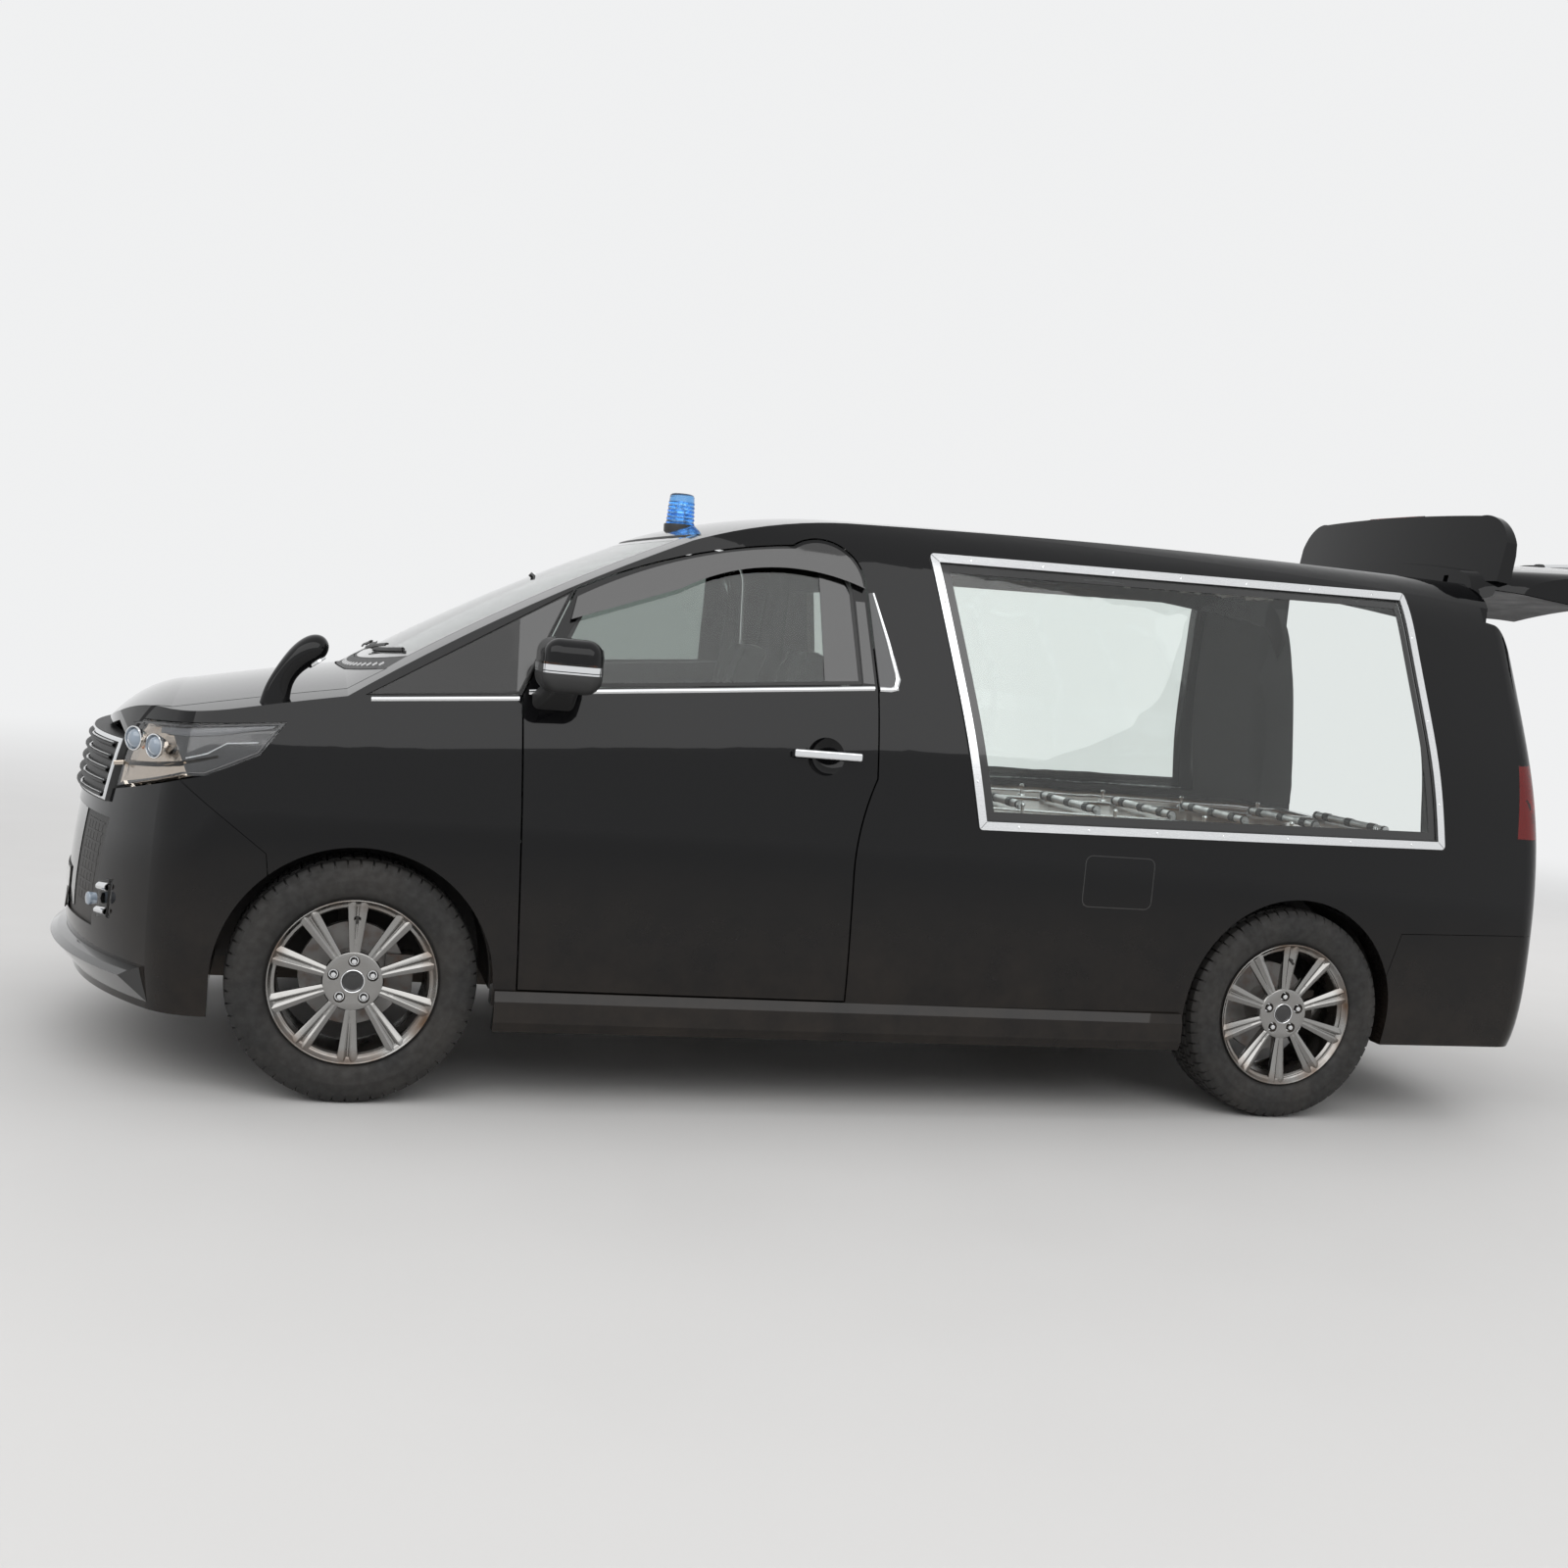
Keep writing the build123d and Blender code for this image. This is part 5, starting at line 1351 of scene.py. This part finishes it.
# Cabin trim, seen through the side glass
def makeCabin():
    panel = coverPiece("door_left", lambda c, n: n.y < -0.4 and c.z < 1.19 and 0.06 < c.x < 1.03, 2.5,
                       [levelCut(1.19)], depth=2)
    paired(panel, "doorTrim", innerPlastic, "doors")
    wall = meshTree(nodes["door_left"]).ray_cast(at(0.5, 0.3, 0.95), Vector((0, 1, 0)))[0].y
    rest = roundedBlock(at(0.46, wall - 0.028, 0.965), (0.5, 0.05, 0.07), 0.018)
    pull = bar([at(0.62, wall - 0.004, 1.06), at(0.6, wall - 0.04, 1.06), at(0.5, wall - 0.04, 1.055),
                at(0.48, wall - 0.004, 1.055)], 0.009)
    speaker = turned([(0.0, 0.0), (0.0, 0.085), (0.006, 0.083), (0.008, 0.078), (0.004, 0.074), (0.003, 0.0)],
                     at(0.86, wall - 0.002, 0.6), (0, -1, 0), 36)
    paired(rest, "armrest", innerPlastic, "doors")
    paired(pull, "doorPull", polished, "doors")
    paired(speaker, "speaker", matteBlack, "doors")
    settle(coverPiece("roof_panel", lambda c, n: n.z < -0.6, 2.0), "roofLining", "root", lightTrim)
    wallLeft = coverPiece("side_panel_left", lambda c, n: n.y < -0.35 and c.x < -0.08 and c.z > 0.92, 2.0,
                          [levelCut(0.92), lengthCut(-0.08)])
    paired(wallLeft, "bayLining", bayCloth)
    screen = roundedBlock(at(1.045, 0.0, 1.085), (0.02, 0.21, 0.13), 0.008, (0, math.radians(-14), 0))
    settle(screen, "centreScreen", "root", glossBlack)
    hoodPiece = roundedBlock(at(1.12, -0.39, 1.165), (0.19, 0.36, 0.05), 0.022, (0, math.radians(-8), 0))
    settle(hoodPiece, "instrumentHood", "root", innerPlastic)
    dials = joined([turned([(0.0, 0.0), (0.0, 0.05), (0.006, 0.052), (0.008, 0.048), (0.003, 0.045), (0.002, 0.0)],
                           at(1.03, -0.39 + s * 0.085, 1.12), (-1, 0, 0.25), 32) for s in (1, -1)])
    settle(dials, "instrumentDials", "root", glossBlack)
    vents = []
    for y in (-0.66, -0.16, 0.16, 0.66):
        for k in range(4):
            vents.append(roundedBlock(at(1.052, y, 1.045 + 0.014 * k), (0.012, 0.11, 0.004), 0.0015))
        vents.append(roundedBlock(at(1.06, y, 1.066), (0.012, 0.13, 0.07), 0.005))
    settle(joined(vents), "dashVents", "root", glossBlack)
    settle(roundedBlock(at(1.054, 0.35, 0.99), (0.01, 0.6, 0.012), 0.004), "dashStrip", "root", polished)
    hub, column = at(0.925, -0.39, 1.045), (0.9135, 0, -0.4067)
    pad = turned([(-0.012, 0.0), (-0.012, 0.05), (-0.004, 0.06), (0.01, 0.064), (0.02, 0.062)], hub, column, 36)
    settle(pad, "steeringPad", "steering_wheel", innerPlastic)
    shroud = turned([(0.055, 0.036), (0.075, 0.05), (0.16, 0.055), (0.2, 0.045)], hub, column, 28)
    settle(shroud, "columnShroud", "root", innerPlastic)
    glassMirror = roundedBlock(at(0.93, 0, 1.512), (0.025, 0.24, 0.062), 0.012, (0, math.radians(10), 0))
    settle(glassMirror, "cabinMirror", "root", glossBlack)
    stalk = bar([at(0.94, 0, 1.53), at(0.975, 0, 1.552), at(0.985, 0, 1.56)], 0.008)
    settle(stalk, "cabinMirrorStalk", "root", glossBlack)
    settle(roundedBlock(at(0.98, 0, 0.72), (0.34, 0.26, 0.64), 0.04), "centreConsole", "root", innerPlastic)
    lever = bar([at(0.86, -0.02, 1.02), at(0.84, -0.02, 1.08)], 0.009)
    knob = turned([(0.0, 0.0), (0.004, 0.014), (0.02, 0.02), (0.036, 0.016), (0.044, 0.0)], at(0.845, -0.02, 1.06),
                  (-0.3, 0, 1), 24)
    settle(joined([lever, knob]), "gearLever", "root", glossBlack)
    mat = coverPiece("floor_pan", lambda c, n: n.z > 0.9 and c.x > -0.05 and c.z < 0.45, 3)
    settle(mat, "cabinCarpet", "root", bayCloth)
    start, bend, end = at(0.1, 0.735, 1.47), at(0.12, 0.69, 1.1), at(0.4, 0.66, 0.6)
    points = []
    for k in range(13):
        t = k / 12
        p = start.lerp(bend, t).lerp(bend.lerp(end, t), t)
        points += [p + Vector((-0.023, 0, 0)), p + Vector((0.023, 0, 0))]
    strap = meshPiece(points, [(2 * k, 2 * k + 1, 2 * k + 3, 2 * k + 2) for k in range(12)])
    thicken(strap, 0.0016)
    paired(strap, "seatBelt", cloth)


makeCabin()
print("cabin made")


# Windscreen border, wipers, cowl slots and roof beacon
def makeScreenTrim():
    loop = (arcPoints((1410, -708), (1532, 0), (1410, 708), 16) + arcPoints((566, 592), (655, 0), (566, -592), 16))
    loop = rightWay(loop)
    lay("screenBorder", "root", glossBlack, "windscreen", *ringOf(loop, -2, -46), view="top",
        closed=True, rows=2, step=40, lift=0.4, depth=0.4)
    lay("screenSeal", "root", matteBlack, "windscreen", *ringOf(loop, -1, -9), view="top",
        closed=True, rows=3, step=40, lift=0.6, crown=3, depth=1)
    sets = []
    for pivot, tip, blade in (((1478, -560), (1462, -250), ((1440, -620), (1478, 30))),
                              ((1490, 60), (1440, 330), ((1482, 60), (1415, 560)))):
        low = [(blade[0][0] + (blade[1][0] - blade[0][0]) * k / 12 + 14 * math.sin(math.pi * k / 12),
                blade[0][1] + (blade[1][1] - blade[0][1]) * k / 12) for k in range(13)]
        high = [(x - 11, y) for x, y in low]
        sets.append(skinSheet("windscreen", low, high, view="top", rows=4, step=60, lift=3, crown=9, depth=9))
        sets.append(skinSheet(["windscreen", "cowl_panel"], [(pivot[0] + 6, pivot[1]), (tip[0] + 8, tip[1])],
                              [(pivot[0] - 10, pivot[1]), (tip[0] - 5, tip[1])], view="top", rows=4, step=30, lift=14,
                              crown=5, depth=5))
    settle(joined(sets), "screenWipers", "root", matteBlack)
    # The cowl's slots are thin gloss black sheets laid on the panel: painted shade for the openings
    slots = []
    for k in range(22):
        y = -620 + 58 * k
        x = 1533 - 122 * (y / 705) ** 2 + 22
        slots.append(skinSheet("cowl_panel", [(x, y), (x, y + 40)], [(x + 14, y), (x + 14, y + 40)], view="top", rows=1,
                               step=20, lift=0.4, depth=0.5))
    settle(joined(slots), "cowlSlotShade", "root", glossBlack)


def makeBeacon():
    def ring(profile, steps=40):
        return turned(profile, at(0.492, 0, 0), (0, 0, 1), steps)

    base = ring([(1.70, 0.050), (1.752, 0.0535), (1.772, 0.0545), (1.776, 0.0535), (1.777, 0.05)])
    core = ring([(1.76, 0.0), (1.76, 0.018), (1.80, 0.02), (1.83, 0.016), (1.85, 0.006), (1.852, 0.0)], 24)
    ribs = []
    for k in range(6):
        z, inward = 0.0135 * k, 0.0008 * k
        ribs.append(ring([(1.778 + z, 0.0478 - inward), (1.7815 + z, 0.0492 - inward), (1.785 + z, 0.0476 - inward)]))
    ribs = joined(ribs)
    settle(base, "beaconBase", "root", matteBlack)
    settle(core, "beaconCore", "root", chrome)
    settle(ribs, "beaconRibs", "root", blueLens)


makeScreenTrim()
makeBeacon()
print("roof made")

# Tailgate and rear bumper: the gate stands open by this angle about its hinge line
gate = {"hingeX": -2272, "hingeZ": 1838, "open": 84}


def openSpot(x, z):
    turn = math.radians(gate["open"])
    dx, dz = x - gate["hingeX"], z - gate["hingeZ"]
    along, rise = math.cos(turn), math.sin(turn)
    return gate["hingeX"] + dx * along + dz * rise, gate["hingeZ"] - dx * rise + dz * along


def makeRear():
    lining = coverPiece("tailgate", lambda c, n: n.z < -0.55 and c.x < -2.32, 2.5)
    settle(lining, "gateLining", "tailgate", innerPlastic)
    low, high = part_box("tailgate_glass")
    back, ahead = (low.x - carMiddle) * 1000 + 14, (high.x - carMiddle) * 1000 - 10
    loop = rightWay([(back, -594), (ahead, -556), (ahead, 556), (back, 594)])
    lay("gateGlassBorder", "tailgate", glossBlack, "tailgate_glass", loop, offsetLoop(loop, -48), view="top",
        closed=True, rows=2, step=50, lift=0.5, depth=0.5)
    x1, x2 = openSpot(-2500, 985)[0], openSpot(-2490, 1097)[0]
    lay("rearPlateBlank", "tailgate", plateYellow, "tailgate", [(x1, -260), (x2, -260), (x2, 260), (x1, 260)],
        [((x1 + x2) / 2, 0)] * 4, view="top", closed=True, rows=5, step=60, lift=6, depth=1.2)
    x1, x2 = openSpot(-2490, 1112)[0], openSpot(-2480, 1140)[0]
    ys = list(range(-420, 421, 60))
    lay("gateChromeBar", "tailgate", chrome, "tailgate", [(x1, y) for y in ys], [(x2, y) for y in ys], view="top",
        rows=6, step=70, lift=0.5, crown=14, depth=2)
    x1, x2 = openSpot(-2545, 1838)[0] - 9, openSpot(-2545, 1826)[0] + 8
    ys = list(range(-170, 171, 34))
    lay("highStopLamp", "tailgate", redLens, "tailgate", [(x1, y) for y in ys], [(x2, y) for y in ys], view="top",
        rows=3, step=40, lift=0.5, crown=2, depth=2)
    pivot, tip = openSpot(-2470, 1150)[0], openSpot(-2440, 1215)[0]
    arm = skinSheet(["tailgate", "tailgate_glass"], [(pivot, -14), (tip, -330)], [(pivot, 12), (tip + 10, -330)],
                    view="top", rows=3, step=30, lift=6, crown=5, depth=4)
    boss = skinSheet(["tailgate"], [(pivot - 20, -18), (pivot + 12, -18), (pivot + 12, 18), (pivot - 20, 18)],
                     [(pivot - 4, 0)] * 4, view="top", closed=True, rows=4, step=12, lift=0.5, crown=14, depth=2)
    settle(joined([arm, boss]), "rearWiper", "tailgate", matteBlack)
    inner = coverPiece("tail_lamps", lambda c, n: c.y > 0 and (n.y > 0.4 or n.x < -0.4), -13)
    paired(inner, "tailReflector", lampChrome)
    for name, low, high, finish in (("reverseLamp", 1085, 1120, whiteLens), ("rearSignal", 1040, 1072, amberLens)):
        layPair(name, finish, "tail_lamps", [(770, low), (850, low)], [(770, high), (850, high)], view="back", rows=3,
                step=12, lift=-6, crown=2, depth=3)
    layPair("bumperReflex", redLens, "rear_bumper", [(640, 452), (760, 452)], [(640, 486), (760, 486)], view="back",
            rows=4, step=12, lift=0.6, crown=2.5, depth=2)
    ys = list(range(-560, 561, 56))
    lay("bumperStepPad", "root", matteBlack, "rear_bumper", [(-2500, y) for y in ys], [(-2440, y) for y in ys],
        view="top", rows=3, step=70, lift=0.6, crown=1.5, depth=1)


makeRear()
print("rear made")


# Deck rails, tie rings and roller sleeves
def makeDeckTrim():
    rails = []
    peg = [(0.0, 0.0), (0.0, 0.016), (0.004, 0.015), (0.005, 0.006), (0.03, 0.006), (0.036, 0.009), (0.042, 0.006),
           (0.043, 0.0)]
    for side in (1, -1):
        for y in (0.262, 0.56):
            rails.append(roundedBlock(at(-1.2, side * y, 0.9085), (2.2, 0.018, 0.007), 0.0025))
        for k in range(6):
            rails.append(turned(peg, at(-2.1 + 0.35 * k, side * 0.4, 0.905), (0, 0, 1), 20))
    sill = roundedBlock(at(-2.3, 0, 0.909), (0.05, 1.2, 0.008), 0.003)
    settle(joined(rails + [sill]), "deckRails", "root", polished)
    ends = []
    cap = [(0.0, 0.0), (0.0, 0.0152), (0.012, 0.0155), (0.014, 0.0135)]
    sleeve = [(-0.02, 0.0146), (-0.018, 0.0162), (0.018, 0.0162), (0.02, 0.0146)]
    for k in range(7):
        x = -2.265 + 0.3 * k
        for side in (1, -1):
            ends.append(turned(cap, at(x, side * 0.229, 0.925), (0, -side, 0), 20))
        for y in (-0.15, 0, 0.15):
            ends.append(turned(sleeve, at(x, y, 0.925), (0, 1, 0), 20))
    settle(joined(ends), "rollerSleeves", "root", matteBlack)


makeDeckTrim()
print("load bay made")
